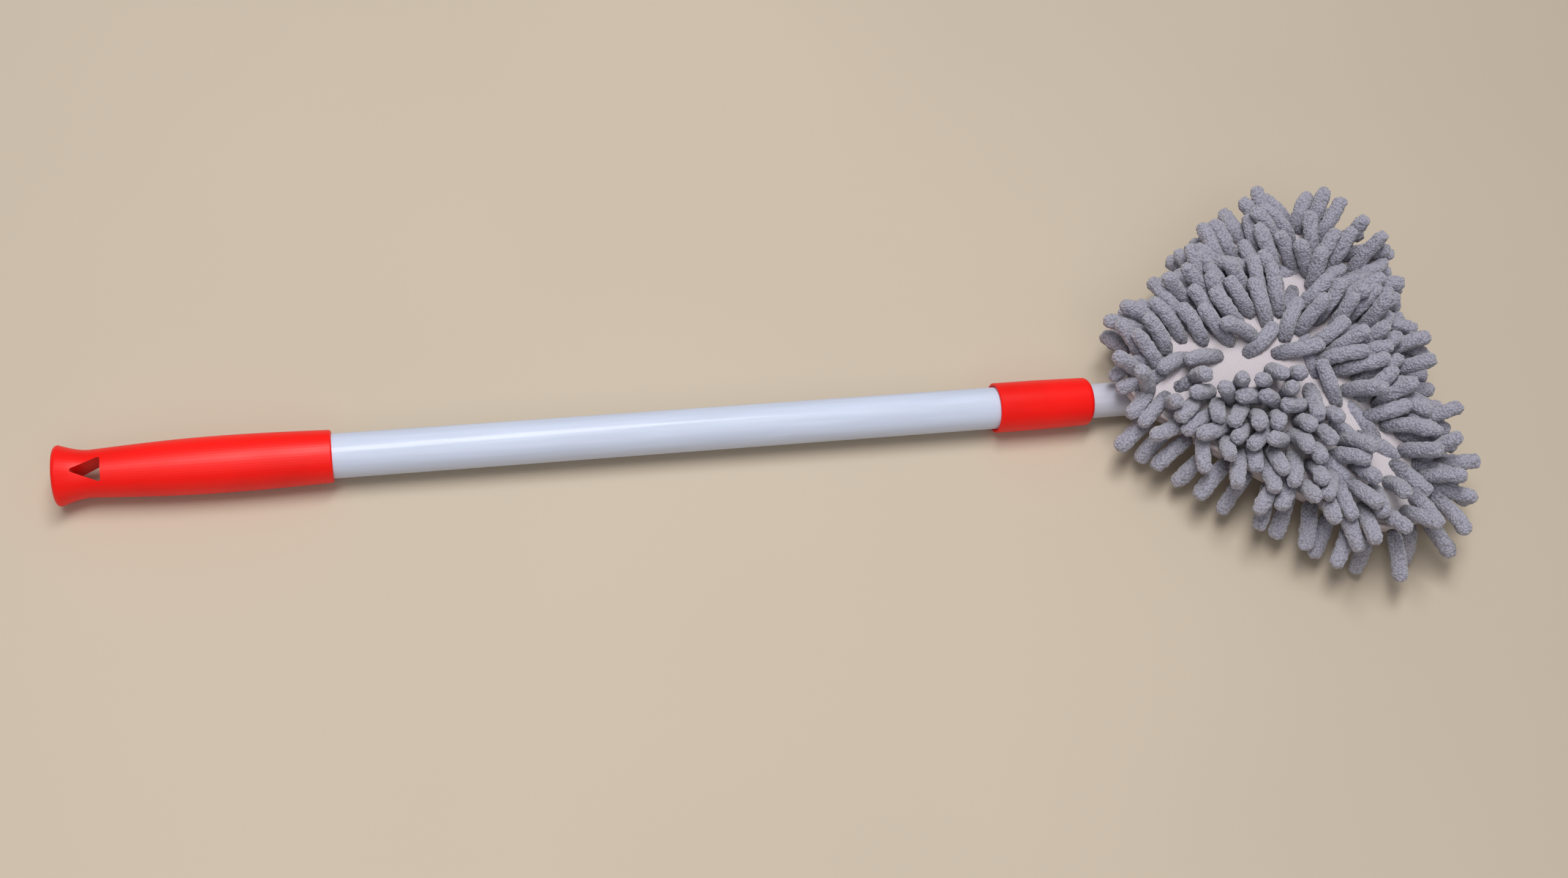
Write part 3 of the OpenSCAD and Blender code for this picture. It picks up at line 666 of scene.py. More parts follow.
@dataclass
class Settler:
    """Turns strands aside until few of them press into one another, the pole or the floor."""

    maker: StrandMaker
    floor: float
    shares: tuple[float, ...] = (0.3, 0.5, 0.7, 0.9)
    rounds: int = 45
    ease: float = 0.3
    soft: float = 0.95
    pole_r: float = 10.5
    pole_end: float = 660.0
    pole_gap: float = 1.0
    collar_r: float = 15.0
    collar_end: float = 591.0
    floor_gap: float = 0.4
    least_reach: float = 8.0
    least_level: float = 0.5
    steepest: float = 1.25
    search: float = 11.0
    least_gap: float = 0.01

    def push(self, strand: Strand, share: float, way: Vector) -> None:
        """Turns a strand so that its spot at a share of its length moves some of a way.

        Args:
            strand: The strand.
            share: Share of its length.
            way: The move in millimetres that would clear the spot.
        """
        aside = Vector((-math.sin(strand.turn), math.cos(strand.turn), 0.0))
        flat = Vector((math.cos(strand.turn), math.sin(strand.turn), 0.0))
        above = math.cos(strand.lift) * Vector((0.0, 0.0, 1.0)) - math.sin(strand.lift) * flat
        reach = max(self.least_reach, share * strand.length)
        level = max(self.least_level, math.cos(strand.lift))
        strand.turn += self.ease * way.dot(aside) / (reach * level)
        strand.lift += self.ease * way.dot(above) / reach
        strand.lift = min(self.steepest, max(strand.lowest, strand.lift))

    def clear_of_pole(self, spot: Vector, strand: Strand) -> Vector:
        """Gives the move that lifts a spot clear of the pole, the collar and the floor."""
        away = Vector((0.0, spot.y, spot.z))
        half = strand.thick * self.soft / 2
        need = half + self.pole_gap + (self.pole_r if spot.x > self.collar_end + half else self.collar_r)
        presses = away.length < need and spot.x < self.pole_end
        way = away.normalized() * (need - away.length) if presses else Vector()
        lowest = self.floor + half + self.floor_gap
        if spot.z < lowest:
            way.z += lowest - spot.z
        return way

    def settle(self, strands: list[Strand]) -> None:
        """Moves all the strands together, a little each round.

        Args:
            strands: The strands, which are changed.
        """
        count = len(self.shares)
        for _ in range(self.rounds):
            spots = [self.maker.spine(strand, share)[0] for strand in strands for share in self.shares]
            tree = kdtree.KDTree(len(spots))
            for index, spot in enumerate(spots):
                tree.insert(spot, index)
            tree.balance()
            for index, spot in enumerate(spots):
                strand, share = strands[index // count], self.shares[index % count]
                way = self.clear_of_pole(spot, strand)
                for place, other, gap in tree.find_range(spot, self.search):
                    need = self.soft * (strand.thick + strands[other // count].thick) / 2
                    if other // count != index // count and self.least_gap < gap < need:
                        way += (spot - place) * (need - gap) / (2.0 * gap)
                self.push(strand, share, way)


def new_piece(name: str, bm: bmesh.types.BMesh, finish: bpy.types.Material) -> bpy.types.Object:
    """Turns a mesh into a smooth piece that rides on the head.

    Args:
        name: The piece's name.
        bm: Its mesh, which is freed.
        finish: Its material.

    Returns:
        The new object.
    """
    bmesh.ops.recalc_face_normals(bm, faces=bm.faces)
    for face in bm.faces:
        face.smooth = True
    mesh = bpy.data.meshes.new(name)
    bm.to_mesh(mesh)
    bm.free()
    mesh.materials.append(finish)
    piece = bpy.data.objects.new(name, mesh)
    bpy.context.scene.collection.objects.link(piece)
    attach(piece, HEAD)
    LOG.info("%s: %d faces", name, len(mesh.polygons))
    return piece


@dataclass
class ClothMap:
    """Lays a cloth's UV map, in metres along and across it, from marks left on its vertices."""

    bm: bmesh.types.BMesh
    along: float = OPEN_CLOTH
    across: float = OPEN_CLOTH

    def __post_init__(self) -> None:
        """Adds the layers that hold the marks."""
        layers = self.bm.verts.layers.float
        self.layers = (layers.new("along"), layers.new("across"))

    def mark(self, vert: bmesh.types.BMVert, along: float, across: float) -> None:
        """Notes a vertex's place on the cloth, in metres."""
        vert[self.layers[0]], vert[self.layers[1]] = along, across

    def lay(self) -> None:
        """Writes the map; a face that closes a ring takes the ring's full length."""
        uv = self.bm.loops.layers.uv.new("weave")
        for face in self.bm.faces:
            for axis, full in enumerate((self.along, self.across)):
                top = max(loop.vert[self.layers[axis]] for loop in face.loops)
                for loop in face.loops:
                    value = loop.vert[self.layers[axis]]
                    loop[uv].uv[axis] = value + full if top - value > full / 2 else value


def smooth(piece: bpy.types.Object, levels: int) -> None:
    """Adds a subdivision surface of that many levels."""
    modifier = piece.modifiers.new("smooth", "SUBSURF")
    modifier.levels = modifier.render_levels = levels


def thicken(piece: bpy.types.Object) -> None:
    """Gives a sheet the cloth's thickness, inwards from its face."""
    modifier = piece.modifiers.new("cloth", "SOLIDIFY")
    modifier.thickness = CLOTH_THICKNESS
    modifier.offset = -1.0
    modifier.use_even_offset = True


def wander(t: float, waves: float, lane: float, layer: float = 0.0) -> float:
    """Gives smooth noise from about -1 to 1 at a turn round the outline.

    Args:
        t: The turn.
        waves: About how often the noise changes in a full turn.
        lane: Sets one run of noise apart from another.
        layer: Sets it further apart.

    Returns:
        The noise.
    """
    return noise.noise(Vector((t * waves, lane, layer)))


def first_ring(bm: bmesh.types.BMesh, count: int) -> tuple[list, list]:
    """Starts a mesh with a closed ring of vertices.

    Args:
        bm: The empty mesh.
        count: Vertices in the ring.

    Returns:
        The ring's vertices in order, and its edges.
    """
    made = bmesh.ops.create_circle(bm, cap_ends=False, segments=count, radius=1.0)
    return made["verts"], list(bm.edges)


def next_ring(bm: bmesh.types.BMesh, verts: list, edges: list) -> tuple[list, list]:
    """Extrudes a ring's edges and gives the new ring in the same order.

    Args:
        bm: The mesh.
        verts: The last ring's vertices.
        edges: The last ring's edges.

    Returns:
        The new ring's vertices and edges.
    """
    geom = bmesh.ops.extrude_edge_only(bm, edges=edges)["geom"]
    fresh = [g for g in geom if isinstance(g, bmesh.types.BMEdge)]
    new = {g for g in geom if isinstance(g, bmesh.types.BMVert)}
    ordered = [next(e.other_vert(v) for e in v.link_edges if e.other_vert(v) in new) for v in verts]
    return ordered, fresh


@dataclass(frozen=True)
class FaceHabit:
    """How the strands of the face stand, in millimetres, degrees, shares and odds."""

    row_shares: tuple[float, ...] = (0.94, 0.79, 0.64, 0.49, 0.34, 0.18)
    row_lifts: tuple[float, ...] = (30.0, 35.0, 38.0, 42.0, 46.0, 52.0)
    pitch: float = 13.0
    row_start: float = 0.3
    place_slip: float = 0.0016
    share_slip: float = 0.02
    rim_fan: float = 0.8
    row_fan: float = 0.55
    turn_slip: float = 24.0
    lift_slip: Span = (-12.0, 14.0)
    loose_odds: float = 0.24
    loose: float = 2.4
    parting_gap: float = 11.0
    parting_odds: float = 0.6
    parting_slip: float = 35.0
    parting_lift: Span = (10.0, 30.0)
    bare_gap: float = 13.0
    bare_odds: float = 0.3
    apex_angle: float = 3.0
    root_sink: float = 0.9
    droop: Span = (0.0, 48.0)
    sway: float = 42.0
    length: Span = (29.0, 36.0)
    thick: Span = (9.8, 10.7)


@dataclass(frozen=True)
class FringeHabit:
    """How the strands of the fringe hang, in millimetres, degrees and shares."""

    pitch: float = 13.0
    root_out: float = 1.6
    root_slip: float = 0.8
    lean_slip: float = 11.0
    droop_slip: float = 4.0
    hangs_from: float = 10.0
    hanging_bend: Span = (5.0, 16.0)
    hanging_lowest: float = -80.0
    level_bend: Span = (-9.0, -1.0)
    level_lowest: float = 3.0
    sway: float = 16.0
    thick: Span = (10.2, 11.2)
    fan_middle: float = 0.58
    fan_back: float = -0.8
    side_droops: Span = (16.0, 34.0)
    base_droops: Span = (0.0, -5.0)
    corner_droops: Span = (18.0, 56.0)


@dataclass(frozen=True)
class PileForm:
    """Subdivision of a strand, and the soft lumps of its pile in metres."""

    levels: int = 2
    lump: float = 0.0026
    depth: int = 1
    contrast: float = 1.3
    height: float = 0.0014


@dataclass(frozen=True)
class CoverSizes:
    """Sizes of the cover's cloths, cords, stitches and foam, in millimetres, shares and counts."""

    face_points: int = 96
    face_shares: tuple[float, ...] = (1.0, 0.97, 0.86, 0.74, 0.62, 0.5, 0.38, 0.26, 0.14, 0.05)
    face_sink: float = 0.5
    seam_out: float = 1.2
    pucker_height: float = 0.8
    pucker_size: float = 9.0
    pucker_layer: float = 3.7
    # Distance outside the outline and height, from the seam down the wall and in to the hem's edge.
    hood_section: tuple[Span, ...] = (
        (0.3, 22.5), (1.5, 20.2), (1.9, 17.2), (1.2, 14.4),
        (-0.9, 12.7), (-4.5, 12.2), (-9.0, 12.4), (-13.0, 12.7),
    )
    wall_rings: int = 3
    gathers: int = 88
    gather_points: int = 4
    gather_out: float = 0.6
    gather_up: float = 0.5
    gather_drift: float = 2.2
    ripple: float = 0.12
    cord_points: int = 240
    cord_sides: int = 8
    piping_middle: Span = (1.9, 23.2)
    piping_radii: Span = (1.55, 1.5)
    dents: int = 190
    dent_depth: float = 0.12
    piping_drift: float = 0.25
    elastic_middle: Span = (-14.0, 12.75)
    elastic_radii: Span = (0.95, 0.8)
    crimp_height: float = 0.12
    stitches: int = 200
    stitch_out: float = -1.6
    stitch_slant: float = 0.2
    stitch_share: float = 0.985
    stitch_proud: float = 0.1
    stitch_length: float = 2.0
    stitch_thick: float = 0.6
    foam_points: int = 72
    foam_out: float = -5.3
    foam_gap: float = 0.1
    foam_wall: float = 2.5
    foam_rim_drop: float = 0.4
    foam_crown_drop: float = 1.6
    foam_shares: tuple[float, ...] = (0.84, 0.66, 0.5, 0.33, 0.15)
    foam_bevel: float = 1.2


class TuftedCover:
    """The head's cover: face cloth, strands, hood, piping, elastic, and the foam inside it."""

    ZONE_LIFTS = {Zone.LEFT: 0.0, Zone.RIGHT: 15.0, Zone.BASE: 7.0}
    ZONE_REACHES = {Zone.LEFT: 1.0, Zone.RIGHT: 1.0, Zone.BASE: 0.93}
    SIDE_LEANS = {Edge.SIDE_LEFT: 8.0, Edge.SIDE_RIGHT: -20.0}
    FRINGE_LENGTHS = {
        Edge.BASE_LEFT: (19.5, 22.5),
        Edge.CORNER_LEFT: (30.0, 33.0),
        Edge.SIDE_LEFT: (25.0, 27.5),
        Edge.SIDE_RIGHT: (28.5, 31.0),
        Edge.CORNER_RIGHT: (30.0, 33.0),
        Edge.BASE_RIGHT: (19.5, 22.5),
    }
    # Strands added singly, as turn round the outline, share of the way out, lean and lift in degrees.
    APEX_STRANDS = (
        (0.474, 0.88, 164.0, 14.0), (0.497, 0.8, 186.0, 22.0), (0.51, 0.9, 208.0, 8.0),
        (0.526, 0.86, 226.0, 12.0),
    )
    FAR_PARTING_STRANDS = (
        (0.176, 0.95, 84.0, 18.0), (0.18, 0.84, 44.0, 34.0), (0.174, 0.72, 98.0, 30.0),
        (0.182, 0.6, 30.0, 42.0), (0.172, 0.5, 76.0, 46.0),
    )
    NEAR_STRANDS = (
        (0.566, 0.7, 236.0, 52.0), (0.592, 0.6, 228.0, 60.0), (0.618, 0.76, 240.0, 48.0),
        (0.64, 0.56, 232.0, 62.0), (0.668, 0.7, 226.0, 54.0), (0.692, 0.86, 238.0, 40.0),
        (0.716, 0.66, 230.0, 56.0), (0.742, 0.8, 244.0, 44.0),
    )
    CORNER_STRANDS = (
        (0.872, 0.96, -12.0, 12.0), (0.858, 0.93, -30.0, 18.0), (0.848, 0.98, -46.0, 8.0),
        (0.862, 0.84, -20.0, 30.0), (0.132, 0.96, 16.0, 14.0), (0.146, 0.92, 34.0, 26.0),
        (0.2, 0.9, 84.0, 26.0),
    )

    def __init__(self, outline: CoverOutline, levels: CoverLevels, seed: int = 11) -> None:
        """Keeps the plan and levels, and makes the cover's materials."""
        self.outline = outline
        self.levels = levels
        self.sizes = CoverSizes()
        self.face_habit = FaceHabit()
        self.fringe_habit = FringeHabit()
        self.pile = PileForm()
        self.maker = StrandMaker()
        self.chance = random.Random(seed)
        self.face_finish = FACE_CLOTH.material()
        self.hem_finish = HEM_CLOTH.material()
        self.pile_finish = CHENILLE.material()
        self.foam_finish = FOAM.material()

    def within(self, span: Span) -> float:
        """Draws a number from a span."""
        return self.chance.uniform(*span)

    def slip(self, most: float) -> float:
        """Draws a number up to that far on either side of nought."""
        return self.chance.uniform(-most, most)

    def loft(
        self, bm: bmesh.types.BMesh, section: Sequence[Span], count: int, wave: Wave | None = None
    ) -> Loft:
        """Lofts a section round the outline.

        Args:
            bm: The empty mesh.
            section: Pairs of distance outside the outline and height, in millimetres.
            count: Points round the outline.
            wave: Gives a pair of shifts outwards and upwards for a ring's index and a turn, if any.

        Returns:
            The last ring's vertices and edges, and the map of the cloth.
        """
        rises = [0.0]
        for first, second in zip(section, section[1:] + section[:1]):
            rises.append(rises[-1] + MM * math.dist(first, second))
        cloth = ClothMap(bm, MM * self.outline.perimeter, rises[-1])
        verts, edges = first_ring(bm, count)
        for index, (out, height) in enumerate(section):
            if index:
                verts, edges = next_ring(bm, verts, edges)
            for step, vert in enumerate(verts):
                t = step / count
                shift = wave(index, t) if wave else (0.0, 0.0)
                flat = self.outline.offset(t, out + shift[0])
                vert.co = MM * Vector((flat.x, flat.y, height + shift[1]))
                cloth.mark(vert, t * cloth.along, rises[index])
        return verts, edges, cloth

    def face_cloth(self) -> None:
        """Makes the crowned face cloth, puckered a little where the strands pull on it."""
        sizes = self.sizes
        bm = bmesh.new()
        cloth = ClothMap(bm)
        verts, edges = first_ring(bm, sizes.face_points)
        for index, share in enumerate(sizes.face_shares):
            if index:
                verts, edges = next_ring(bm, verts, edges)
            for step, vert in enumerate(verts):
                t = step / sizes.face_points
                flat = self.outline.inside(t, share) if index else self.outline.offset(t, sizes.seam_out)
                spot = Vector((flat.x / sizes.pucker_size, flat.y / sizes.pucker_size, sizes.pucker_layer))
                pucker = sizes.pucker_height * noise.noise(spot) if index > 1 else 0.0
                height = self.levels.face(share) - sizes.face_sink + pucker
                vert.co = MM * Vector((flat.x, flat.y, height))
        cap = bmesh.ops.contextual_create(bm, geom=edges)["faces"]
        bmesh.ops.poke(bm, faces=cap)
        for vert in bm.verts:
            cloth.mark(vert, vert.co.x, vert.co.y)
        cloth.lay()
        piece = new_piece("face_cloth", bm, self.face_finish)
        thicken(piece)
        smooth(piece, 1)
        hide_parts("tufted_face")

    def hood(self) -> None:
        """Makes the cover's side wall and its hem, gathered by the elastic."""
        sizes = self.sizes
        hem_rings = len(sizes.hood_section) - 1 - sizes.wall_rings

        def gather(index: int, t: float) -> Span:
            """Gives the puckers of the hem, deeper towards its edge."""
            depth = max(0, index - sizes.wall_rings) / hem_rings
            drift = sizes.gather_drift * wander(t, waves=40.0, lane=0.3)
            fold = math.sin(math.tau * sizes.gathers * t + drift)
            ripple = sizes.ripple * wander(t, waves=90.0, lane=index, layer=1.0)
            return sizes.gather_out * depth * fold, sizes.gather_up * depth * (fold - 1.0) + ripple

        bm = bmesh.new()
        self.loft(bm, sizes.hood_section, sizes.gather_points * sizes.gathers, gather)[2].lay()
        piece = new_piece("hood_cloth", bm, self.hem_finish)
        thicken(piece)
        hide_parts("cover_hood")

    def cord(self, name: str, middle: Span, radii: Span, node: str, wave: Wave) -> None:
        """Makes a closed cord of oval section round the outline.

        Args:
            name: The piece's name.
            middle: Distance of its middle outside the outline, and its height.
            radii: Half width and half height of its section.
            node: The CAD node it stands for.
            wave: Shifts as for loft.
        """
        bm = bmesh.new()
        turns = [math.tau * k / self.sizes.cord_sides for k in range(self.sizes.cord_sides)]
        section = [(middle[0] + radii[0] * math.cos(a), middle[1] + radii[1] * math.sin(a)) for a in turns]
        _, edges, cloth = self.loft(bm, section, self.sizes.cord_points, wave)
        first = [e for e in bm.edges if e.is_boundary and e not in set(edges)]
        bmesh.ops.bridge_loops(bm, edges=first + edges)
        cloth.lay()
        piece = new_piece(name, bm, self.hem_finish)
        smooth(piece, 1)
        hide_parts(node)

    def piping(self) -> None:
        """Makes the cloth-covered cord along the seam of the face."""
        sizes = self.sizes

        def sewn(index: int, t: float) -> Span:
            """Gives the small dents that the seam's stitches leave."""
            dent = sizes.dent_depth * math.sin(math.tau * sizes.dents * t)
            outer = index < sizes.cord_sides // 2
            return dent if outer else -dent, sizes.piping_drift * wander(t, waves=60.0, lane=2.0)

        self.cord("edge_piping", sizes.piping_middle, sizes.piping_radii, "piping", sewn)

    def elastic(self) -> None:
        """Makes the elastic in the hem's edge."""
        sizes = self.sizes

        def crimp(_: int, t: float) -> Span:
            """Gives the crimps of the slack elastic."""
            return 0.0, sizes.crimp_height * math.sin(math.tau * sizes.gathers * t)

        self.cord("hem_cord", sizes.elastic_middle, sizes.elastic_radii, "hem_elastic", crimp)

    def seam_stitches(self) -> None:
        """Makes the row of stitches between the piping and the face."""
        sizes = self.sizes
        maker = StrandMaker(sides=4, rings=(-0.1, 0.15, 0.85, 1.1), girths=(0.0, 1.0, 1.0, 0.0))
        bm = bmesh.new()
        for step in range(sizes.stitches):
            t = step / sizes.stitches
            flat = self.outline.offset(t, sizes.stitch_out)
            _, _, turn = self.outline.place(t)
            stitch = Strand(
                root=Vector((*flat, self.levels.face(sizes.stitch_share) + sizes.stitch_proud)),
                turn=turn + math.pi / 2 - sizes.stitch_slant,
                lift=0.0,
                droop=0.0,
                sway=0.0,
                length=sizes.stitch_length,
                thick=sizes.stitch_thick,
            )
            maker.add(bm, stitch)
        new_piece("seam_stitches", bm, SEAM_THREAD.material())

    def foam(self) -> None:
        """Makes the crowned foam block between the plate and the face cloth."""
        sizes = self.sizes
        bm = bmesh.new()
        low = self.levels.plate_top + sizes.foam_gap
        heights = (low, low + sizes.foam_wall, self.levels.face_rim - sizes.foam_rim_drop)
        verts, edges, _ = self.loft(bm, [(sizes.foam_out, z) for z in heights], sizes.foam_points)
        for share in sizes.foam_shares:
            verts, edges = next_ring(bm, verts, edges)
            for step, vert in enumerate(verts):
                flat = self.outline.inside(step / sizes.foam_points, share)
                height = self.levels.face(share) - self.levels.cloth - sizes.foam_crown_drop
                vert.co = MM * Vector((flat.x, flat.y, height))
        top = bmesh.ops.contextual_create(bm, geom=edges)["faces"]
        rim = [e for e in bm.edges if e.is_boundary]
        base = bmesh.ops.contextual_create(bm, geom=rim)["faces"]
        bmesh.ops.poke(bm, faces=top + base)
        piece = new_piece("foam_block", bm, self.foam_finish)
        bevel = piece.modifiers.new("edge", "BEVEL")
        bevel.width, bevel.segments = MM * sizes.foam_bevel, 2
        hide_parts("foam_pad")

    def face_strand(self, t: float, row: int) -> Strand:
        """Settles one strand of the face.

        Args:
            t: Its place round the outline.
            row: Its row, counted from the rim.

        Returns:
            The strand.
        """
        habit, chance = self.face_habit, self.chance
        zone = self.outline.zone(t)
        share = habit.row_shares[row] * self.ZONE_REACHES[zone] + self.slip(habit.share_slip)
        _, _, normal = self.outline.place(t)
        middle = self.outline.zone_turn(zone)
        off = (normal - middle + math.pi) % math.tau - math.pi
        loose = habit.loose if chance.random() < habit.loose_odds else 1.0
        fan = habit.row_fan if row else habit.rim_fan
        turn = middle + off * fan + loose * math.radians(self.slip(habit.turn_slip))
        lift = habit.row_lifts[row] + self.ZONE_LIFTS[zone] + loose * self.within(habit.lift_slip)
        gap, along = self.outline.nearest_parting(t)
        if row and gap * share < habit.parting_gap and chance.random() < habit.parting_odds:
            turn = along + chance.choice((0.0, math.pi)) + math.radians(self.slip(habit.parting_slip))
            lift = self.within(habit.parting_lift)
        return self.rooted(t + self.slip(habit.place_slip), share, turn, lift)

    def rooted(self, t: float, share: float, turn: float, lift: float) -> Strand:
        """Roots a strand of the face, with a bend and a girth of its own.

        Args:
            t: Its place round the outline.
            share: Its share of the way out to the outline.
            turn: The angle at which it leans out.
            lift: Its angle above level in degrees.

        Returns:
            The strand.
        """
        habit = self.face_habit
        flat = self.outline.inside(t, share)
        return Strand(
            root=Vector((flat.x, flat.y, self.levels.face(share) - habit.root_sink)),
            turn=turn,
            lift=math.radians(lift),
            droop=math.radians(self.within(habit.droop)),
            sway=math.radians(self.slip(habit.sway)),
            length=self.within(habit.length),
            thick=self.within(habit.thick),
        )

    def face_strands(self) -> dict[str, list[Strand]]:
        """Settles the strands of the face, a list for each zone's piece."""
        habit = self.face_habit
        fields: dict[Zone, list[Strand]] = {zone: [] for zone in Zone}
        for row, share in enumerate(habit.row_shares):
            count = round(self.outline.perimeter * share / habit.pitch)
            for step in range(count):
                t = (step + (row % 2) / 2 + habit.row_start) / count
                gap, along = self.outline.nearest_parting(t)
                at_apex = t > APEX_TURN and abs(along) > habit.apex_angle
                bare = at_apex and row and gap * share < habit.bare_gap
                if not bare or self.chance.random() < habit.bare_odds:
                    fields[self.outline.zone(t)].append(self.face_strand(t, row))
        extras = self.APEX_STRANDS + self.FAR_PARTING_STRANDS + self.NEAR_STRANDS + self.CORNER_STRANDS
        for t, share, turn, lift in extras:
            fields[self.outline.zone(t)].append(self.rooted(t, share, math.radians(turn), lift))
        return {f"face_strands_{zone.value}": fields[zone] for zone in Zone}

    def fringe_strand(self, t: float, droop: float, lean: float, lengths: Span) -> Strand:
        """Settles one strand of the fringe.

        Args:
            t: Its place round the outline.
            droop: Its angle below level in degrees.
            lean: Its angle off the outline's normal in degrees.
            lengths: Its least and greatest length.

        Returns:
            The strand.
        """
        habit = self.fringe_habit
        hangs = droop > habit.hangs_from
        flat = self.outline.offset(t, habit.root_out)
        _, _, normal = self.outline.place(t)
        return Strand(
            root=Vector((flat.x, flat.y, self.levels.fringe + self.slip(habit.root_slip))),
            turn=normal + math.radians(lean + self.slip(habit.lean_slip)),
            lift=math.radians(-droop + self.slip(habit.droop_slip)),
            droop=math.radians(self.within(habit.hanging_bend if hangs else habit.level_bend)),
            sway=math.radians(self.slip(habit.sway)),
            length=self.within(lengths),
            thick=self.within(habit.thick),
            lowest=math.radians(habit.hanging_lowest if hangs else habit.level_lowest),
        )

    def fringe(self, droops: dict[Edge, Span]) -> list[Strand]:
        """Settles the fringe along some arcs of the outline.

        Args:
            droops: For each arc, the two angles below level that its strands take in turn.

        Returns:
            The strands.
        """
        habit = self.fringe_habit
        strands = []
        for edge, pair in droops.items():
            start, stop = self.outline.arc_span(edge)
            count = max(2, round(self.outline.arcs[edge].length / habit.pitch))
            for step in range(count):
                share = (step + 0.5) / count
                fan = 1.0 if share < habit.fan_middle else habit.fan_back
                lean = self.SIDE_LEANS.get(edge, 0.0) * fan
                place = start + (stop - start) * share
                strands.append(self.fringe_strand(place, pair[step % 2], lean, self.FRINGE_LENGTHS[edge]))
        return strands

    def fringes(self) -> dict[str, list[Strand]]:
        """Settles the fringes and the tufts at the corners, a list for each node they stand for."""
        habit = self.fringe_habit
        side, base, corner = habit.side_droops, habit.base_droops, habit.corner_droops
        return {
            "fringe_left": self.fringe({Edge.SIDE_LEFT: side}),
            "fringe_right": self.fringe({Edge.SIDE_RIGHT: side}),
            "fringe_base": self.fringe({Edge.BASE_RIGHT: base, Edge.BASE_LEFT: base}),
            "corner_tuft_left": self.fringe({Edge.CORNER_LEFT: corner}),
            "corner_tuft_right": self.fringe({Edge.CORNER_RIGHT: corner[::-1]}),
        }

    def strands(self) -> None:
        """Settles every strand against the others, and makes their pieces."""
        face, edge = self.face_strands(), self.fringes()
        every = [strand for part in (face, edge) for row in part.values() for strand in row]
        Settler(self.maker, self.levels.floor).settle(every)
        for name, row in face.items():
            self.strand_piece(name, row, "tufted_face")
        for node, row in edge.items():
            self.strand_piece(f"{node}_strands", row, node)

    def strand_piece(self, name: str, strands: list[Strand], node: str) -> None:
        """Makes one piece of many strands with a soft lumpy pile.

        Args:
            name: The piece's name.
            strands: Its strands.
            node: The CAD node it stands for.
        """
        bm = bmesh.new()
        for strand in strands:
            self.maker.add(bm, strand)
        piece = new_piece(name, bm, self.pile_finish)
        smooth(piece, self.pile.levels)
        lumps = bpy.data.textures.new(name + "_clumps", "CLOUDS")
        lumps.noise_scale = self.pile.lump
        lumps.noise_depth = self.pile.depth
        lumps.contrast = self.pile.contrast
        modifier = piece.modifiers.new("pile", "DISPLACE")
        modifier.texture = lumps
        modifier.texture_coords = "LOCAL"
        modifier.direction = "NORMAL"
        modifier.mid_level = 0.5
        modifier.strength = self.pile.height
        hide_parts(node)

    def build(self) -> None:
        """Makes every piece of the cover."""
        self.foam()
        self.face_cloth()
        self.hood()
        self.piping()
        self.elastic()
        self.seam_stitches()
        self.strands()


@dataclass
class HardParts:
    """The rigid solids that stay as the CAD has them, and the finish that each one takes."""

    finishes: dict[str, Finish] = field(
        default_factory=lambda: {
            "grip": RED_PLASTIC,
            "collar": RED_PLASTIC,
            "outer_tube": TUBE_PAINT,
            "inner_tube": INNER_PAINT,
            "collet": NATURAL_NYLON,
            "expander_plug": NATURAL_NYLON,
            "expander_cap": NATURAL_NYLON,
            "cap_screw": ZINC,
            "neck_rivet": ZINC,
            "hinge_bolt": ZINC,
            "hinge_nut": ZINC,
            "hinge_washers": ZINC,
            "neck": GREY_PLASTIC,
            "head_plate": GREY_PLASTIC,
        }
    )

    def dress(self) -> None:
        """Gives each solid its finish, one material for each kind."""
        made: dict[str, bpy.types.Material] = {}
        for node, finish in self.finishes.items():
            if finish.name not in made:
                made[finish.name] = finish.material()
            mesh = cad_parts[node].data
            mesh.materials.clear()
            mesh.materials.append(made[finish.name])
            LOG.info("%s: %s", node, finish.name)


@dataclass
class PhotoCamera:
    """The photograph's camera, as fitted to the pole's edges, in metres."""

    centre: Place = (0.1771, -0.4591, 0.8809)
    right: Place = (0.97308, -0.16538, 0.16051)
    down: Place = (-0.07268, -0.88114, -0.46724)
    focal_px: float = 2841.5
    width_px: float = 2560.0
    sensor_mm: float = 36.0
    clip: Span = (0.02, 20.0)

    def build(self) -> None:
        """Makes the camera and sets it as the scene's."""
        data = bpy.data.cameras.new("photo_camera")
        data.sensor_fit = "HORIZONTAL"
        data.sensor_width = self.sensor_mm
        data.lens = data.sensor_width * self.focal_px / self.width_px
        data.clip_start, data.clip_end = self.clip
        camera = bpy.data.objects.new("photo_camera", data)
        right = Vector(self.right).normalized()
        up = -Vector(self.down)
        up = (up - up.dot(right) * right).normalized()
        back = right.cross(up)
        turn = Matrix((right, up, back)).transposed()
        camera.matrix_world = Matrix.Translation(self.centre) @ turn.to_4x4()
        bpy.context.scene.collection.objects.link(camera)
        bpy.context.scene.camera = camera


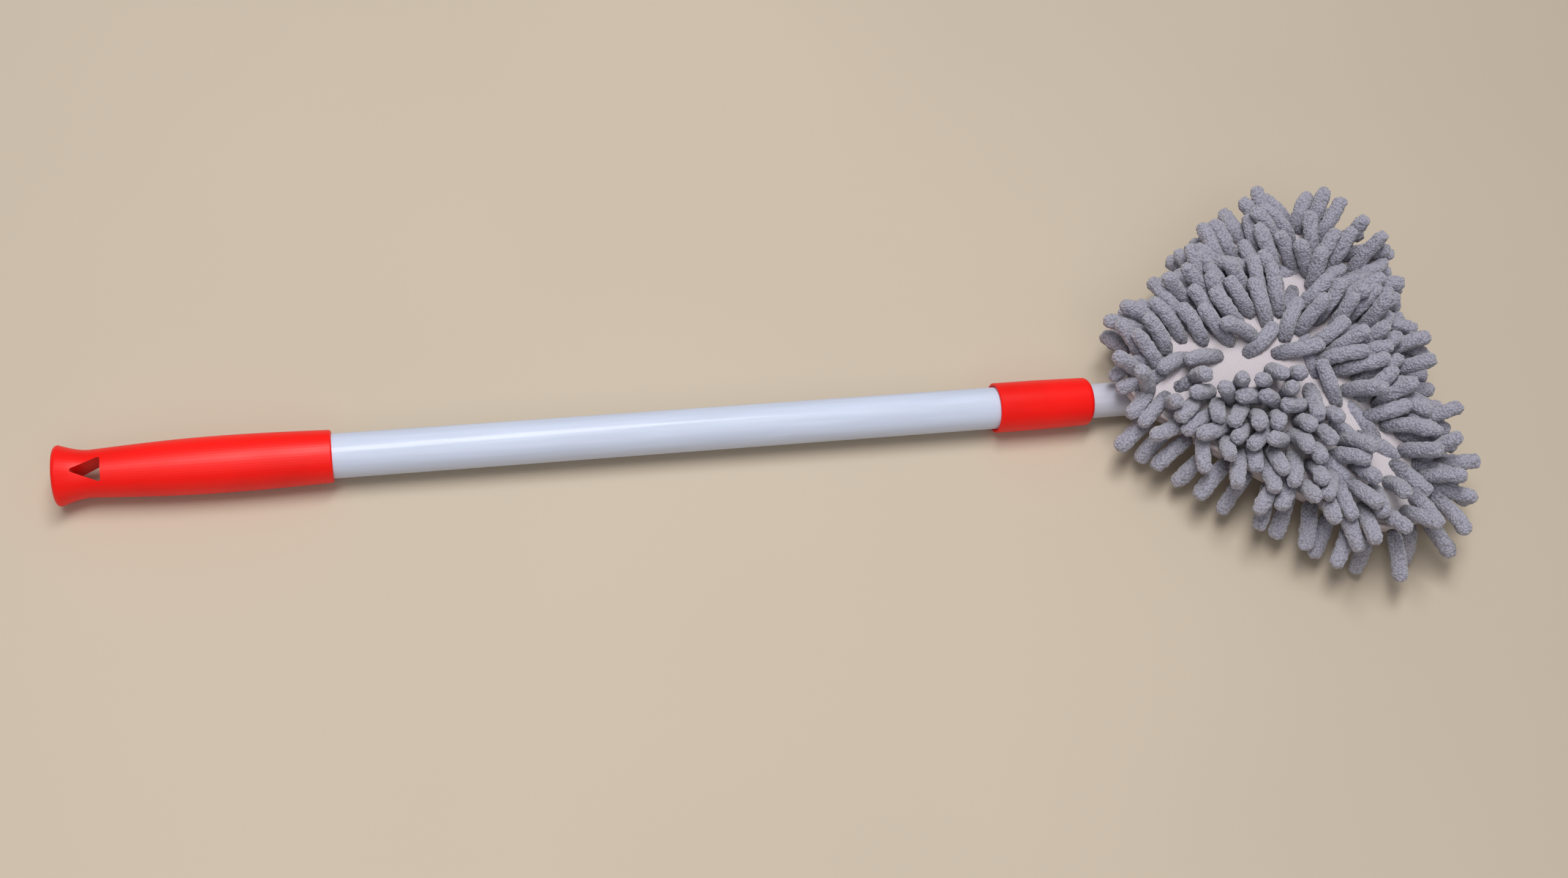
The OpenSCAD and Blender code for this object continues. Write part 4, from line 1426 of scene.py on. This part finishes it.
@dataclass(frozen=True)
class Lamp:
    """One soft oblong lamp, in metres and watts."""

    name: str
    place: Place
    size: Span
    power: float

    def build(self, aim: Place) -> None:
        """Makes the lamp, turned to a place."""
        data = bpy.data.lights.new(self.name, "AREA")
        data.shape = "RECTANGLE"
        data.size, data.size_y = self.size
        data.energy = self.power
        lamp = bpy.data.objects.new(self.name, data)
        lamp.location = self.place
        lamp.rotation_euler = (Vector(aim) - Vector(self.place)).to_track_quat("-Z", "Y").to_euler()
        bpy.context.scene.collection.objects.link(lamp)


@dataclass
class Studio:
    """Pale floor, soft lamps and an even surround."""

    floor_middle: Place = (0.4, 0.0, -0.0165)
    floor_size: float = 4.0
    aim: Place = (0.45, 0.0, 0.0)
    lamps: tuple[Lamp, ...] = (
        Lamp("key_lamp", (0.2, 0.2, 1.9), (1.5, 0.5), 31.0),
        Lamp("fill_lamp", (0.2, -1.2, 1.5), (1.4, 1.0), 5.0),
    )
    surround_colour: Colour = (1.0, 0.985, 0.96)
    surround_strength: float = 0.25

    def floor(self) -> None:
        """Makes the floor that the mop lies on."""
        bm = bmesh.new()
        bmesh.ops.create_grid(bm, x_segments=2, y_segments=2, size=self.floor_size)
        bmesh.ops.translate(bm, verts=bm.verts, vec=Vector(self.floor_middle))
        mesh = bpy.data.meshes.new("floor")
        bm.to_mesh(mesh)
        bm.free()
        mesh.materials.append(FLOOR.material())
        floor = bpy.data.objects.new("floor", mesh)
        bpy.context.scene.collection.objects.link(floor)

    def surround(self) -> None:
        """Lights everything evenly with a near-white surround."""
        world = bpy.data.worlds.new("studio")
        world.use_nodes = True
        back = world.node_tree.nodes["Background"]
        back.inputs["Color"].default_value = (*self.surround_colour, 1.0)
        back.inputs["Strength"].default_value = self.surround_strength
        bpy.context.scene.world = world

    def build(self) -> None:
        """Makes the floor, lamps and surround."""
        self.floor()
        for lamp in self.lamps:
            lamp.build(self.aim)
        self.surround()
        bpy.context.scene.view_settings.view_transform = "Standard"


def main() -> None:
    """Builds the camera, studio and pieces in order."""
    logging.basicConfig(level=logging.INFO, format="%(name)s %(message)s")
    PhotoCamera().build()
    Studio().build()
    HardParts().dress()
    TuftedCover(CoverOutline(), CoverLevels()).build()


if __name__ == "__main__":
    main()
